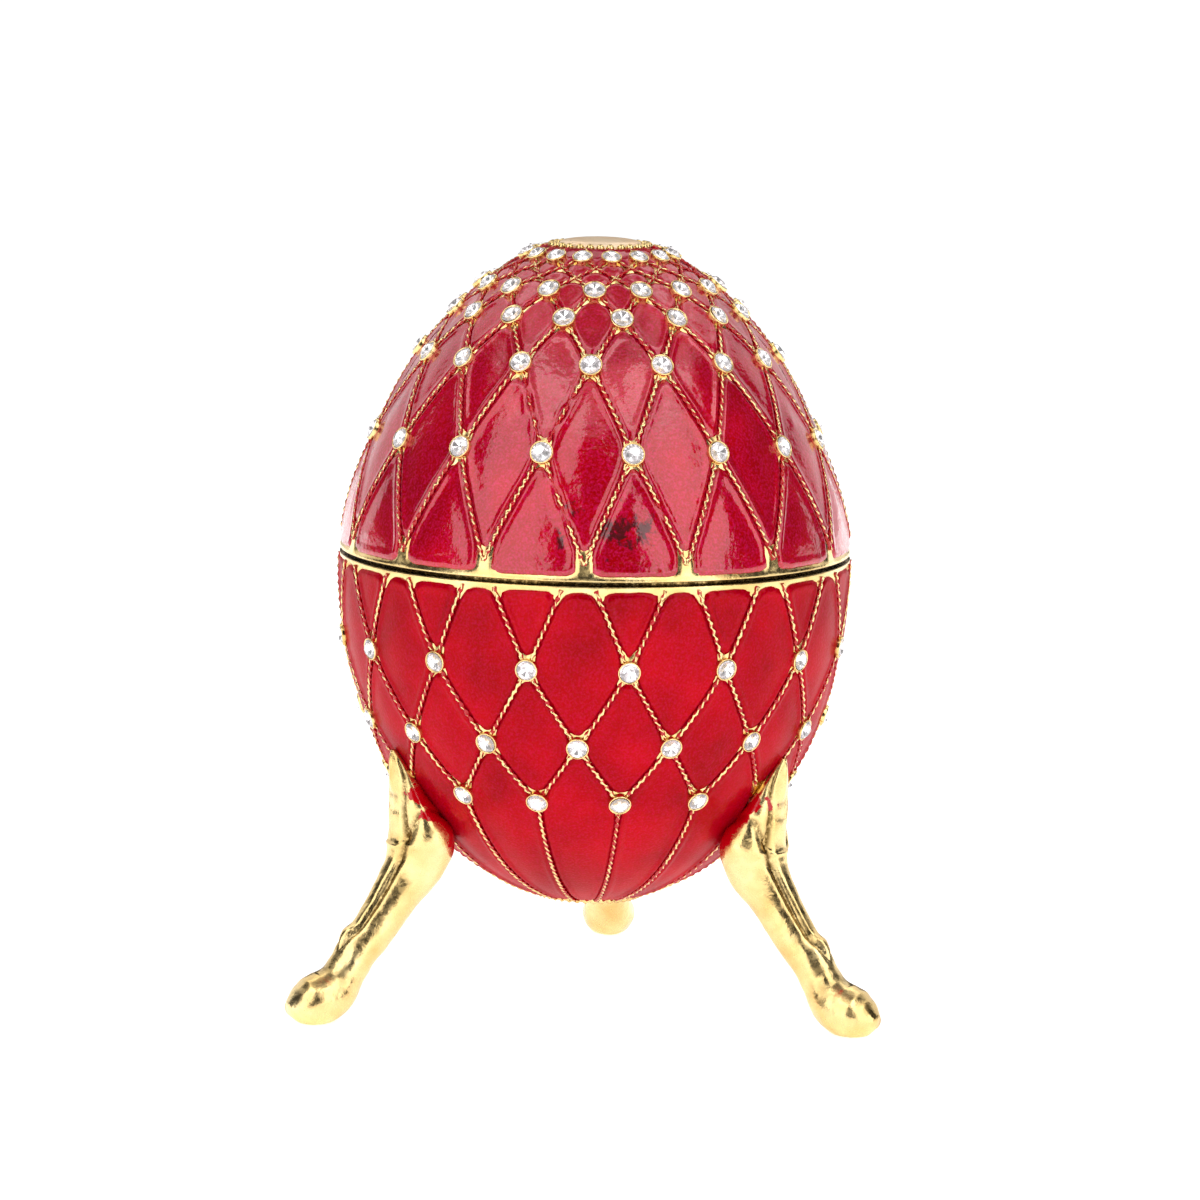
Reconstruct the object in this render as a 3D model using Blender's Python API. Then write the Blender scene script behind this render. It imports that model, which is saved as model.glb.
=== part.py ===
"""Jewelled egg trinket box: an enamelled egg in two cast halves, ribbed with a rope lattice and set with
stones, on three cast legs.

Metres, +Z up. The box stands on the XY plane, with the middle of its bounding box over the origin.
Pieces are modelled round the egg's own axis, with z = 0 at the parting plane, and an empty sets them down.
"""

import math

import bmesh
import bpy
from mathutils import Matrix, Vector

# Outline of the egg
WAIST_RADIUS = 0.0255
LID_HEIGHT = 0.0328
LID_POWER = 1.5
LID_FULLNESS = 0.58
BASE_SEMI_AXIS = 0.0340
BASE_CENTRE_DROP = 0.0014
CROWN_RADIUS = 0.0064
UNDERSIDE_RADIUS = 0.0053
GROUND_CLEARANCE = 0.0107

# Castings
WALL = 0.0015
PARTING_GAP = 0.0004
RIM_BAND = 0.0006
LIP_HEIGHT = 0.0016
LIP_THICKNESS = 0.0009
LIP_CLEARANCE = 0.0003
UNDERSIDE_RING = 0.0005
WALL_RINGS = 5

# Rope lattice, with its rows as shares of the lid's height or of the base's depth
PANELS_ROUND = 16
LATTICE_TURN = math.radians(-3.25)
LID_TURN = math.radians(1.0)
RIB_WIDTH = 0.0008
RELIEF = 0.00035
PANEL_DOME = 0.0002
LONGEST_CHORD = 0.0075
LID_ROWS = (0.055, 0.367, 0.611, 0.738, 0.813, 0.906)
BASE_ROWS = (0.248, 0.473, 0.646)
BASE_RIM_GAP = 0.0033

# Stones and the collets that hold them
STONE_RADIUS = 0.00112
TABLE_RADIUS = 0.00066
STONE_CROWN = 0.00045
COLLET_RADIUS = 0.00135
COLLET_HEIGHT = 0.00050
COLLET_DRAFT = 0.00005
SEAT_DEPTH = 0.00030
STONE_CLEARANCE = 0.00006
STONE_SIDES = 6

# Gold disc and beads on top of the lid
BEAD_RING_RADIUS = 0.0053
DISC_RADIUS = 0.0044
DISC_RISE = 0.00045
DISC_STEPS = (0.86, 0.5)
BEAD_COUNT = 28
BEAD_HEIGHT = 0.0007

# Legs
LEG_AZIMUTHS = {"leg_left": -61.5, "leg_right": 58.5, "leg_back": 176.0}
LEG_FIT = 0.0003
LEG_SIDES = 10
LEG_RINGS = 14
LEG_HALF_DEPTH = 0.0021
LEG_HALF_WIDTH = 0.0020
SHIN_RIDGE = 0.14
TIP_CLEARANCE = 0.00137
# A leg's line from tip to toe, as shares of the egg's radius at the tip and of the drop from there to
# the ground, with its half depth and half width as shares of the shank's
LEG_SPREAD = 2.0
LEG_STATIONS = (
    (1.014, 0.000, 0.14, 0.15),
    (0.979, 0.083, 0.45, 0.85),
    (0.922, 0.214, 0.92, 1.60),
    (0.870, 0.335, 1.48, LEG_SPREAD),
    (0.892, 0.432, 1.42, 1.55),
    (0.978, 0.538, 1.13, 1.10),
    (1.095, 0.672, 1.00, 1.00),
    (1.181, 0.750, 0.98, 1.00),
    (1.237, 0.818, 1.00, 1.02),
    (1.313, 0.893, 1.22, 1.30),
    (1.402, 0.926, 1.17, 1.38),
    (1.470, 0.937, 0.84, 1.05),
    (1.521, 0.941, 0.30, 0.40),
)

GOLD = (0.83, 0.60, 0.22)
CRYSTAL = (0.93, 0.93, 0.96)


def lid_radius(height):
    share = min(max(height / LID_HEIGHT, 0.0), 1.0)
    return WAIST_RADIUS * (1 - share ** LID_POWER) ** LID_FULLNESS


def base_radius(depth):
    share = min(abs(depth - BASE_CENTRE_DROP) / BASE_SEMI_AXIS, 1.0)
    return WAIST_RADIUS * math.sqrt(1 - share ** 2)


def lid_height_at(radius):
    return LID_HEIGHT * (1 - (radius / WAIST_RADIUS) ** (1 / LID_FULLNESS)) ** (1 / LID_POWER)


def base_depth_at(radius):
    return BASE_CENTRE_DROP + BASE_SEMI_AXIS * math.sqrt(1 - (radius / WAIST_RADIUS) ** 2)


def egg_radius(z):
    return lid_radius(z) if z > 0 else base_radius(-z)


def outline_normal(z):
    """Outward normal of the outline at a height, as (radial, vertical)."""
    step = WAIST_RADIUS / 2000
    below = z - step if z > step or z <= 0 else z
    above = z + step if z < -step or z > 0 else z
    slope = (egg_radius(above) - egg_radius(below)) / (above - below)
    return Vector((1.0, -slope)).normalized()


def round_axis(radius, azimuth, z):
    """A point at an azimuth, which is counted from the front towards the right."""
    return Vector((radius * math.sin(azimuth), -radius * math.cos(azimuth), z))


def egg_normal(point):
    out = outline_normal(point.z)
    return round_axis(out.x, math.atan2(point.x, -point.y), out.y)


def settle(vertex, lift=0.0):
    """Moves a vertex near the egg to a lift above its surface."""
    for _ in range(5):
        level = outline_normal(vertex.co.z).x
        short = (egg_radius(vertex.co.z) - vertex.co.xy.length) * level + lift
        vertex.co += egg_normal(vertex.co) * short


def material(name, colour, roughness, metallic):
    made = bpy.data.materials.new(name)
    made.use_nodes = True
    shader = made.node_tree.nodes["Principled BSDF"]
    shader.inputs["Base Color"].default_value = (*colour, 1.0)
    shader.inputs["Roughness"].default_value = roughness
    shader.inputs["Metallic"].default_value = metallic
    return made


def add_object(name, bm, collection, parent, finish=None):
    """An object from a bmesh, which is freed."""
    mesh = bpy.data.meshes.new(name)
    bmesh.ops.recalc_face_normals(bm, faces=bm.faces)
    bm.to_mesh(mesh)
    bm.free()
    made = bpy.data.objects.new(name, mesh)
    collection.objects.link(made)
    made.parent = parent
    if finish:
        mesh.materials.append(finish)
    return made


def lattice_rows(levels, start, first_turned):
    """The lattice's crossings, row by row, as (azimuth, z) pairs half a panel apart from row to row."""
    panel = 2 * math.pi / PANELS_ROUND
    rows = []
    for number, z in enumerate(levels):
        turn = start + panel / 2 * ((number + first_turned) % 2)
        rows.append([(turn + panel * place, z) for place in range(PANELS_ROUND)])
    return rows


def add_row(bm, row):
    return [bm.verts.new(round_axis(egg_radius(z), azimuth, z)) for azimuth, z in row]


def diamonds(bm, lower, side, upper, side_leads):
    """The diamonds between three rows, whose middle row starts half a panel before or after the others."""
    for place in range(PANELS_ROUND):
        left = side[(place - side_leads) % PANELS_ROUND]
        right = side[(place - side_leads + 1) % PANELS_ROUND]
        bm.faces.new((lower[place], right, upper[place], left))


def open_collets(bm, crossings):
    """Opens each crossing into a six-sided face for a collet, and returns those faces."""
    places = [crossing.co.copy() for crossing in crossings]
    bmesh.ops.bevel(bm, geom=crossings, offset=COLLET_RADIUS, segments=1, affect="VERTICES",
                    clamp_overlap=False)
    bm.faces.ensure_lookup_table()
    faces = []
    for place in places:
        face = min(bm.faces, key=lambda f: (f.calc_center_median() - place).length)
        wanted = STONE_SIDES - len(face.verts)
        # The sides that cross the widest corners are parted first
        sides = sorted(face.edges, key=lambda e: -e.calc_length())
        for edge in sides[:wanted]:
            bmesh.utils.edge_split(edge, edge.verts[0], 0.5)
        normal = egg_normal(place)
        for vertex in face.verts:
            spoke = vertex.co - place
            spoke -= normal * spoke.dot(normal)
            vertex.co = place + spoke.normalized() * COLLET_RADIUS
            settle(vertex)
        faces.append(face)
    return faces


def part_long_edges(bm, faces):
    """Parts the edges of the panels that are too long to follow the egg."""
    bm.edges.index_update()
    edges = {edge for face in faces for edge in face.edges}
    for edge in sorted(edges, key=lambda e: e.index):
        pieces = math.ceil(edge.calc_length() / LONGEST_CHORD)
        for left in range(pieces, 1, -1):
            start = edge.verts[0]
            edge, vertex = bmesh.utils.edge_split(edge, start, 1 - 1 / left)
            settle(vertex)


def sink_panels(bm, faces, seats):
    """Leaves a rib round each panel, and lowers the panel's slightly domed field between them."""
    bmesh.ops.inset_individual(bm, faces=faces, thickness=RIB_WIDTH / 2, use_even_offset=True)
    # A panel is cut off straight at each collet
    spare = []
    for loop in (loop for face in faces for loop in face.loops):
        pair = (loop, loop.link_loop_prev)
        outer = [side.link_loop_radial_next.link_loop_next.link_loop_next.edge for side in pair]
        if all(any(face in seats for face in edge.link_faces) for edge in outer):
            spare.append((loop.vert, loop.link_loop_next.vert))
    for middle, corner in spare:
        bmesh.ops.pointmerge(bm, verts=[middle, corner], merge_co=corner.co)
    for vertex in {v for face in faces for v in face.verts}:
        settle(vertex, -RELIEF)
    poked = bmesh.ops.poke(bm, faces=faces)
    for vertex in poked["verts"]:
        settle(vertex, PANEL_DOME - RELIEF)


def raise_faces(bm, faces, shrink, rise):
    """Steps each face inwards and along its own normal, and returns the new faces."""
    raised = []
    for face in faces:
        centre = face.calc_center_median()
        normal = egg_normal(centre)
        made = bmesh.ops.extrude_discrete_faces(bm, faces=[face])
        face = made["faces"][0]
        for vertex in face.verts:
            spoke = vertex.co - centre
            spoke -= normal * spoke.dot(normal)
            vertex.co = centre + spoke * (1 - shrink / COLLET_RADIUS) + normal * rise
        raised.append(face)
    return raised


def step_ring(bm, ring, radius, z):
    """Carries a closed ring of edges on to a new radius and height, and returns the new ring."""
    made = bmesh.ops.extrude_edge_only(bm, edges=ring)["geom"]
    for vertex in (v for v in made if isinstance(v, bmesh.types.BMVert)):
        vertex.co = round_axis(radius, math.atan2(vertex.co.x, -vertex.co.y), z)
    return [e for e in made if isinstance(e, bmesh.types.BMEdge) and e.is_boundary]


def close_ring(bm, ring):
    bmesh.ops.edgenet_fill(bm, edges=ring)


def open_ring(bm, z_from, z_to):
    return [e for e in bm.edges if e.is_boundary and all(z_from <= v.co.z <= z_to for v in e.verts)]


def hollow(bm, ring, start_radius, height_at, sign):
    """Runs the inner wall from the rim to the closed end, a wall's thickness inside the egg."""
    inner_end = CROWN_RADIUS if sign > 0 else UNDERSIDE_RADIUS
    for number in range(1, WALL_RINGS + 1):
        angle = math.pi / 2 * number / WALL_RINGS
        radius = inner_end + (start_radius - inner_end) * math.cos(angle)
        depth = height_at(min(radius + WALL * math.cos(angle), WAIST_RADIUS))
        ring = step_ring(bm, ring, radius, sign * (depth - WALL * math.sin(angle)))
    close_ring(bm, ring)


def lid_shell(collection, parent, finish):
    bm = bmesh.new()
    levels = [share * LID_HEIGHT for share in LID_ROWS]
    crown = lid_height_at(CROWN_RADIUS)
    rows = lattice_rows(levels, LATTICE_TURN + LID_TURN, 0)
    forks, *set_rows = [add_row(bm, row) for row in rows]
    rim = add_row(bm, [(azimuth, RIM_BAND) for azimuth, _ in rows[0]])
    ring = add_row(bm, [(azimuth, crown) for azimuth, _ in rows[-1]])
    first, top = set_rows[0], set_rows[-1]
    for place in range(PANELS_ROUND):
        after = (place + 1) % PANELS_ROUND
        bm.faces.new((rim[place], rim[after], forks[after], first[place], forks[place]))
        bm.faces.new((set_rows[-2][after], top[after], ring[after], ring[place], top[place]))
    stack = [forks] + set_rows
    for number in range(len(stack) - 2):
        diamonds(bm, stack[number], stack[number + 1], stack[number + 2], 1 - number % 2)
    seats = open_collets(bm, [vertex for row in set_rows for vertex in row])
    panels = [face for face in bm.faces if face not in seats]
    part_long_edges(bm, panels)
    sink_panels(bm, panels, seats)
    seats = raise_faces(bm, seats, COLLET_DRAFT, COLLET_HEIGHT)
    raise_faces(bm, seats, COLLET_RADIUS - TABLE_RADIUS, STONE_CROWN)

    gap = PARTING_GAP / 2
    rim_ring = step_ring(bm, open_ring(bm, 0, levels[0]), WAIST_RADIUS, gap)
    start = WAIST_RADIUS - WALL
    rim_ring = step_ring(bm, rim_ring, start, gap)
    rim_ring = step_ring(bm, rim_ring, start, gap + LIP_HEIGHT + LIP_CLEARANCE)
    hollow(bm, rim_ring, start, lid_height_at, 1)

    top_ring = open_ring(bm, levels[-1], LID_HEIGHT)
    bead_edge = bmesh.ops.create_circle(bm, segments=BEAD_COUNT, radius=BEAD_RING_RADIUS,
                                        matrix=Matrix.Translation((0, 0, crown + BEAD_HEIGHT / 4)))
    bead_ring = list({e for v in bead_edge["verts"] for e in v.link_edges})
    bmesh.ops.bridge_loops(bm, edges=top_ring + bead_ring)
    before = set(bm.faces)
    disc_ring = step_ring(bm, bead_ring, DISC_RADIUS, crown + BEAD_HEIGHT / 4)
    beads = [face for face in bm.faces if face not in before]
    poked = bmesh.ops.poke(bm, faces=beads)
    for vertex in poked["verts"]:
        vertex.co.z += BEAD_HEIGHT * 3 / 4
    for share in DISC_STEPS:
        rise = DISC_RISE * math.sqrt(1 - share ** 2)
        disc_ring = step_ring(bm, disc_ring, DISC_RADIUS * share, crown + BEAD_HEIGHT / 4 + rise)
    close_ring(bm, disc_ring)
    add_object("lid_shell", bm, collection, parent, finish)


def ground_depth():
    return base_depth_at(UNDERSIDE_RADIUS) + GROUND_CLEARANCE


def leg_seat_depth():
    """A leg's tip stops short of the collets of the second row."""
    return BASE_ROWS[1] * BASE_SEMI_AXIS + COLLET_RADIUS + TIP_CLEARANCE


def under_a_leg(point):
    """Whether a leg covers a crossing of the base's lattice, so that it carries no stone."""
    if -point.z < leg_seat_depth():
        return False
    reach = (LEG_HALF_WIDTH * LEG_SPREAD + COLLET_RADIUS) / point.xy.length
    azimuth = math.atan2(point.x, -point.y)
    for degrees in LEG_AZIMUTHS.values():
        apart = (azimuth - math.radians(degrees) + math.pi) % (2 * math.pi) - math.pi
        if abs(apart) < reach:
            return True
    return False


def base_shell(collection, parent, finish):
    """Makes the lower casting, and returns each seat's row number, the centre of its floor and a corner."""
    bm = bmesh.new()
    levels = [-share * BASE_SEMI_AXIS for share in BASE_ROWS]
    floor = -base_depth_at(UNDERSIDE_RADIUS)
    panel = 2 * math.pi / PANELS_ROUND
    rows = lattice_rows(levels, LATTICE_TURN, 1)
    first, second, third = [add_row(bm, row) for row in rows]
    half_gap = BASE_RIM_GAP / 2 / WAIST_RADIUS
    turned = [LATTICE_TURN + panel * place for place in range(PANELS_ROUND)]
    rim_left = add_row(bm, [(azimuth - half_gap, -RIM_BAND) for azimuth in turned])
    rim_right = add_row(bm, [(azimuth + half_gap, -RIM_BAND) for azimuth in turned])
    ring = add_row(bm, [(azimuth, floor) for azimuth, _ in rows[-1]])
    for place in range(PANELS_ROUND):
        after = (place + 1) % PANELS_ROUND
        bm.faces.new((rim_right[place], first[place], rim_left[after]))
        bm.faces.new((rim_left[after], first[place], second[after], first[after], rim_right[after]))
        bm.faces.new((second[after], third[place], ring[place], ring[after], third[after]))
    diamonds(bm, first, second, third, 0)
    seated = [(number, vertex) for number, row in enumerate((first, second, third)) for vertex in row
              if not under_a_leg(vertex.co)]
    row_of = [number for number, _ in seated]
    seats = open_collets(bm, [vertex for _, vertex in seated])
    panels = [face for face in bm.faces if face not in seats]
    part_long_edges(bm, panels)
    sink_panels(bm, panels, seats)
    seats = raise_faces(bm, seats, COLLET_DRAFT, COLLET_HEIGHT)
    seat_shrink = COLLET_RADIUS - COLLET_DRAFT - STONE_RADIUS - STONE_CLEARANCE
    seats = raise_faces(bm, seats, seat_shrink, -SEAT_DEPTH)
    places = [(row, face.calc_center_median(), face.verts[0].co.copy())
              for row, face in zip(row_of, seats)]

    gap = -PARTING_GAP / 2
    lip_outer = WAIST_RADIUS - WALL - LIP_CLEARANCE
    lip_inner = lip_outer - LIP_THICKNESS
    rim_ring = step_ring(bm, open_ring(bm, levels[0], 0), WAIST_RADIUS, gap)
    rim_ring = step_ring(bm, rim_ring, lip_outer, gap)
    rim_ring = step_ring(bm, rim_ring, lip_outer, gap + LIP_HEIGHT)
    rim_ring = step_ring(bm, rim_ring, lip_inner, gap + LIP_HEIGHT)
    rim_ring = step_ring(bm, rim_ring, lip_inner, gap - LIP_HEIGHT)
    hollow(bm, rim_ring, lip_inner, base_depth_at, -1)

    foot_ring = open_ring(bm, floor - WALL, levels[-1])
    foot_ring = step_ring(bm, foot_ring, UNDERSIDE_RADIUS, floor - UNDERSIDE_RING)
    foot_ring = step_ring(bm, foot_ring, UNDERSIDE_RADIUS - UNDERSIDE_RING, floor - UNDERSIDE_RING)
    foot_ring = step_ring(bm, foot_ring, UNDERSIDE_RADIUS - 2 * UNDERSIDE_RING, floor)
    close_ring(bm, foot_ring)
    add_object("base_shell", bm, collection, parent, finish)
    return places


def stones(places, collection, parent, finish):
    """One cut stone for each seat of the base, numbered along its row."""
    counts = {}
    for row, centre, corner in places:
        counts[row] = counts.get(row, 0) + 1
        normal = egg_normal(centre)
        across = corner - centre
        across = (across - normal * across.dot(normal)).normalized()
        frame = Matrix((across, normal.cross(across), normal)).transposed().to_4x4()
        tall = SEAT_DEPTH + STONE_CROWN - STONE_CLEARANCE
        middle = centre + normal * (STONE_CLEARANCE + tall / 2)
        bm = bmesh.new()
        bmesh.ops.create_cone(bm, cap_ends=True, segments=STONE_SIDES, radius1=STONE_RADIUS,
                              radius2=TABLE_RADIUS, depth=tall, matrix=Matrix.Translation(middle) @ frame)
        name = f"stone_{('first', 'second', 'third')[row]}_{counts[row]:02d}"
        add_object(name, bm, collection, parent, finish)


def station(share):
    """A leg's line at a share of its length: its radius, depth, half depth and half width."""
    place = share * (len(LEG_STATIONS) - 1)
    number = min(int(place), len(LEG_STATIONS) - 2)
    part = place - number
    points = [LEG_STATIONS[min(max(number + k, 0), len(LEG_STATIONS) - 1)] for k in (-1, 0, 1, 2)]
    values = []
    for p, q, r, s in zip(*points):
        values.append(0.5 * (2 * q + (r - p) * part + (2 * p - 5 * q + 4 * r - s) * part ** 2
                             + (3 * q - p - 3 * r + s) * part ** 3))
    seat = leg_seat_depth()
    return (values[0] * base_radius(seat), -(seat + values[1] * (ground_depth() - seat)),
            values[2] * LEG_HALF_DEPTH, values[3] * LEG_HALF_WIDTH)


def leg_mesh():
    """A leg in the plane of azimuth 0, lofted from tip to toe and cut flat under the foot."""
    bm = bmesh.new()
    rings = []
    step = 1 / LEG_RINGS / 10
    for number in range(LEG_RINGS + 1):
        share = number / LEG_RINGS
        radius, z, half_depth, half_width = station(share)
        ahead = station(min(share + step, 1))
        behind = station(max(share - step, 0))
        along = Vector((ahead[0] - behind[0], ahead[1] - behind[1])).normalized()
        outwards = Vector((-along.y, along.x))
        ring = []
        for side in range(LEG_SIDES):
            angle = 2 * math.pi * side / LEG_SIDES
            # The ridge down the shin stands on the outermost point of each section
            swell = 1 + SHIN_RIDGE if side == 0 else 1
            reach = half_depth * math.cos(angle) * swell
            ring.append(bm.verts.new((half_width * math.sin(angle), -(radius + outwards.x * reach),
                                      z + outwards.y * reach)))
        rings.append(ring)
    for lower, upper in zip(rings, rings[1:]):
        for side in range(LEG_SIDES):
            after = (side + 1) % LEG_SIDES
            bm.faces.new((lower[side], lower[after], upper[after], upper[side]))
    bm.faces.new(rings[0])
    bm.faces.new(rings[-1])
    bmesh.ops.recalc_face_normals(bm, faces=bm.faces)
    cut = bmesh.ops.bisect_plane(bm, geom=bm.verts[:] + bm.edges[:] + bm.faces[:],
                                 plane_co=(0, 0, -ground_depth()), plane_no=(0, 0, -1), clear_outer=True)
    close_ring(bm, [e for e in cut["geom_cut"] if isinstance(e, bmesh.types.BMEdge)])
    return bm


def fit_cutter(collection, parent):
    """The egg's lower half, swelled by the fit that each leg keeps to it."""
    bm = bmesh.new()
    steps = 3 * PANELS_ROUND
    made = bmesh.ops.create_circle(bm, segments=steps, radius=UNDERSIDE_RADIUS, cap_ends=True)
    ring = list({e for v in made["verts"] for e in v.link_edges if e.is_boundary})
    end = base_depth_at(UNDERSIDE_RADIUS)
    bmesh.ops.translate(bm, verts=made["verts"], vec=(0, 0, -end - LEG_FIT))
    for number in range(1, steps // 2):
        depth = end * (1 - number / (steps // 2))
        out = outline_normal(-depth)
        ring = step_ring(bm, ring, base_radius(depth) + LEG_FIT * out.x, -depth + LEG_FIT * out.y)
    close_ring(bm, ring)
    made = add_object("egg_fit", bm, collection, parent)
    made.hide_render = True
    made.display_type = "WIRE"
    return made


def legs(collection, cutters, parent, finish):
    cutter = fit_cutter(cutters, parent)
    for name, azimuth in LEG_AZIMUTHS.items():
        leg = add_object(name, leg_mesh(), collection, parent, finish)
        leg.rotation_euler.z = math.radians(azimuth)
        seat = leg.modifiers.new("seat", "BOOLEAN")
        seat.operation = "DIFFERENCE"
        seat.solver = "EXACT"
        seat.object = cutter


def set_down(collection, parent):
    """Moves everything so that it stands on the ground with its bounding box over the origin."""
    bpy.context.view_layer.update()
    graph = bpy.context.evaluated_depsgraph_get()
    points = []
    for piece in collection.objects:
        if piece.type == "MESH":
            mesh = piece.evaluated_get(graph).to_mesh()
            points += [piece.matrix_world @ vertex.co for vertex in mesh.vertices]
            piece.evaluated_get(graph).to_mesh_clear()
    low = [min(point[axis] for point in points) for axis in range(3)]
    high = [max(point[axis] for point in points) for axis in range(3)]
    parent.location = (-(low[0] + high[0]) / 2, -(low[1] + high[1]) / 2, -low[2])
    bpy.context.view_layer.update()


def main():
    for leftover in list(bpy.data.objects):
        bpy.data.objects.remove(leftover)
    collection = bpy.data.collections.new("jewelled egg trinket box")
    cutters = bpy.data.collections.new("cutters")
    bpy.context.scene.collection.children.link(collection)
    bpy.context.scene.collection.children.link(cutters)
    parent = bpy.data.objects.new("egg_axis", None)
    collection.objects.link(parent)

    plate = {name: material(name, GOLD, 0.25, 1.0) for name in ("lid plate", "base plate", "leg plate")}
    crystal = material("crystal", CRYSTAL, 0.03, 0.0)
    lid_shell(collection, parent, plate["lid plate"])
    places = base_shell(collection, parent, plate["base plate"])
    stones(places, collection, parent, crystal)
    legs(collection, cutters, parent, plate["leg plate"])
    set_down(collection, parent)


main()
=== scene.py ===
import math

import bmesh
import bpy
import numpy as np
from mathutils import Matrix, Vector


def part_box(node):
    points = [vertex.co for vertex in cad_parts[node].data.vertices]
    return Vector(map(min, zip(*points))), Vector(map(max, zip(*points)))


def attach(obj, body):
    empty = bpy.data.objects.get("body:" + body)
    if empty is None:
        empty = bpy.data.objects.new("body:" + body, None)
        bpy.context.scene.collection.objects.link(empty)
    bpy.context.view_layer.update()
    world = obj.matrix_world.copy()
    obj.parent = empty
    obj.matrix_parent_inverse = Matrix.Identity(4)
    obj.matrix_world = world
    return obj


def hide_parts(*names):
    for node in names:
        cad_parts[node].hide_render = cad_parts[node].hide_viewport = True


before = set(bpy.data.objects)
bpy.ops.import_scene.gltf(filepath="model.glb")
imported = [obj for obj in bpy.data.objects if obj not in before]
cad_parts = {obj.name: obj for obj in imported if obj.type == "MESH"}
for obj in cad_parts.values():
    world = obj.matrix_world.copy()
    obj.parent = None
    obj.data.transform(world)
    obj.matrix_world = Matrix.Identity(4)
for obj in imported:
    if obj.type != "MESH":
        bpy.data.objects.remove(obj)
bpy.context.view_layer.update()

bl_info = {
    "name": "Jewelled egg trinket box",
    "version": (1, 0, 0),
    "blender": (4, 5, 0),
    "location": "3D View > Sidebar > Jewelled egg",
    "description": "Enamel, gold ropes, crystals and cast legs round the frame of an egg-shaped trinket box",
    "category": "Add Mesh",
}

MM = 0.001

# Places that the frame gives
BASE_LOW, BASE_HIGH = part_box("base_shell")
LID_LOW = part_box("lid_shell")[0]
PARTING_GAP = 0.4 * MM
AXIS = Vector(((BASE_LOW.x + BASE_HIGH.x) / 2, (BASE_LOW.y + BASE_HIGH.y) / 2, LID_LOW.z - PARTING_GAP / 2))
GROUND = -AXIS.z

# The egg's outline, walls and lattice; near the crown the lid is a little lower than the frame's
WAIST = 25.5 * MM
LID_HEIGHT = 31.5 * MM
LID_POWER = 1.5
LID_FULLNESS = 0.525
BASE_SEMI_AXIS = 34.0 * MM
BASE_CENTRE_DROP = 1.4 * MM
CROWN_RADIUS = 5.3 * MM
UNDERSIDE_RADIUS = 5.3 * MM
WALL = 1.5 * MM
LIP_HEIGHT = 1.6 * MM
LIP_THICKNESS = 0.9 * MM
LIP_CLEARANCE = 0.3 * MM
PANELS_ROUND = 16
PANEL = 2 * math.pi / PANELS_ROUND
LATTICE_TURN = math.radians(-3.25)
LID_TURN = math.radians(1.0)
LID_ROWS = (0.0573, 0.382, 0.636, 0.768, 0.847, 0.885, 0.913, 0.9395)
LID_SET_ROWS = (1, 2, 3, 4, 7)
TOP_ROW_SIZE = 0.80
CRYSTAL_SIZES = {"lid": 0.91, "base": 0.87}
BASE_ROWS = (0.248, 0.473, 0.646)
BASE_RIM_GAP = 3.3 * MM
RIM_BAND = 0.6 * MM
RIM_EDGE = 0.12 * MM
COLLET_RADIUS = 1.35 * MM
LEG_AZIMUTHS = {"leg_left": -61.5, "leg_right": 58.5, "leg_back": 176.0}
LEG_SEAT_DEPTH = BASE_ROWS[1] * BASE_SEMI_AXIS + COLLET_RADIUS + 1.37 * MM
LEG_HALF_DEPTH = 2.1 * MM
LEG_HALF_WIDTH = 2.0 * MM
SETTLE_ROUNDS = 6
SHARP_ANGLE = math.radians(50)

# Where the enamel ran over a rope: azimuth in degrees, height and reach in millimetres
FLOODS = ((-22.0, 17.7, 0.75), (-18.8, 15.4, 0.70), (-16.6, 13.9, 0.50), (-10.6, 9.0, 0.60),
          (-8.0, 16.9, 0.55), (-12.2, 14.5, 0.75), (-7.3, 6.2, 0.60), (14.8, 6.9, 0.45),
          (64.0, 14.2, 0.6), (-118.0, 8.4, 0.7), (166.0, 17.5, 0.6), (109.0, 21.5, 0.7))

# Dark stains in the lid's enamel: azimuth in degrees, height and reach in millimetres, and density
STAINS = ((4.6, 4.6, 3.6, 0.36), (9.5, 4.8, 4.4, 0.30), (-4.8, 6.7, 1.8, 0.34), (-7.6, 4.2, 2.2, 0.30))


def lid_radius(z):
    share = np.clip(np.asarray(z, float) / LID_HEIGHT, 0.0, 1.0)
    return WAIST * (1 - share ** LID_POWER) ** LID_FULLNESS


def base_radius(depth):
    share = np.clip(np.abs(np.asarray(depth, float) - BASE_CENTRE_DROP) / BASE_SEMI_AXIS, 0.0, 1.0)
    return WAIST * np.sqrt(1 - share ** 2)


def lid_height_at(radius):
    return LID_HEIGHT * (1 - (radius / WAIST) ** (1 / LID_FULLNESS)) ** (1 / LID_POWER)


def base_depth_at(radius):
    return BASE_CENTRE_DROP + BASE_SEMI_AXIS * math.sqrt(max(0.0, 1 - (radius / WAIST) ** 2))


CROWN_LEVEL = lid_height_at(CROWN_RADIUS)
UNDERSIDE_LEVEL = -base_depth_at(UNDERSIDE_RADIUS)


def egg_radius(z):
    z = np.asarray(z, float)
    return np.where(z > 0, lid_radius(z), base_radius(-z))


def egg_normals(points):
    """Outward normals of the egg at points near it, in the egg's own frame."""
    z = points[:, 2]
    step = WAIST / 2000
    above = np.where(z < -step, z + step, np.where(z > 0, z + step, z))
    below = np.where(z > step, z - step, np.where(z <= 0, z - step, z))
    slope = (egg_radius(above) - egg_radius(below)) / (above - below)
    out = np.stack([np.ones_like(slope), -slope], 1)
    out /= np.linalg.norm(out, axis=1)[:, None]
    reach = np.hypot(points[:, 0], points[:, 1])[:, None]
    return np.concatenate([out[:, :1] * points[:, :2] / reach, out[:, 1:]], 1)


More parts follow.
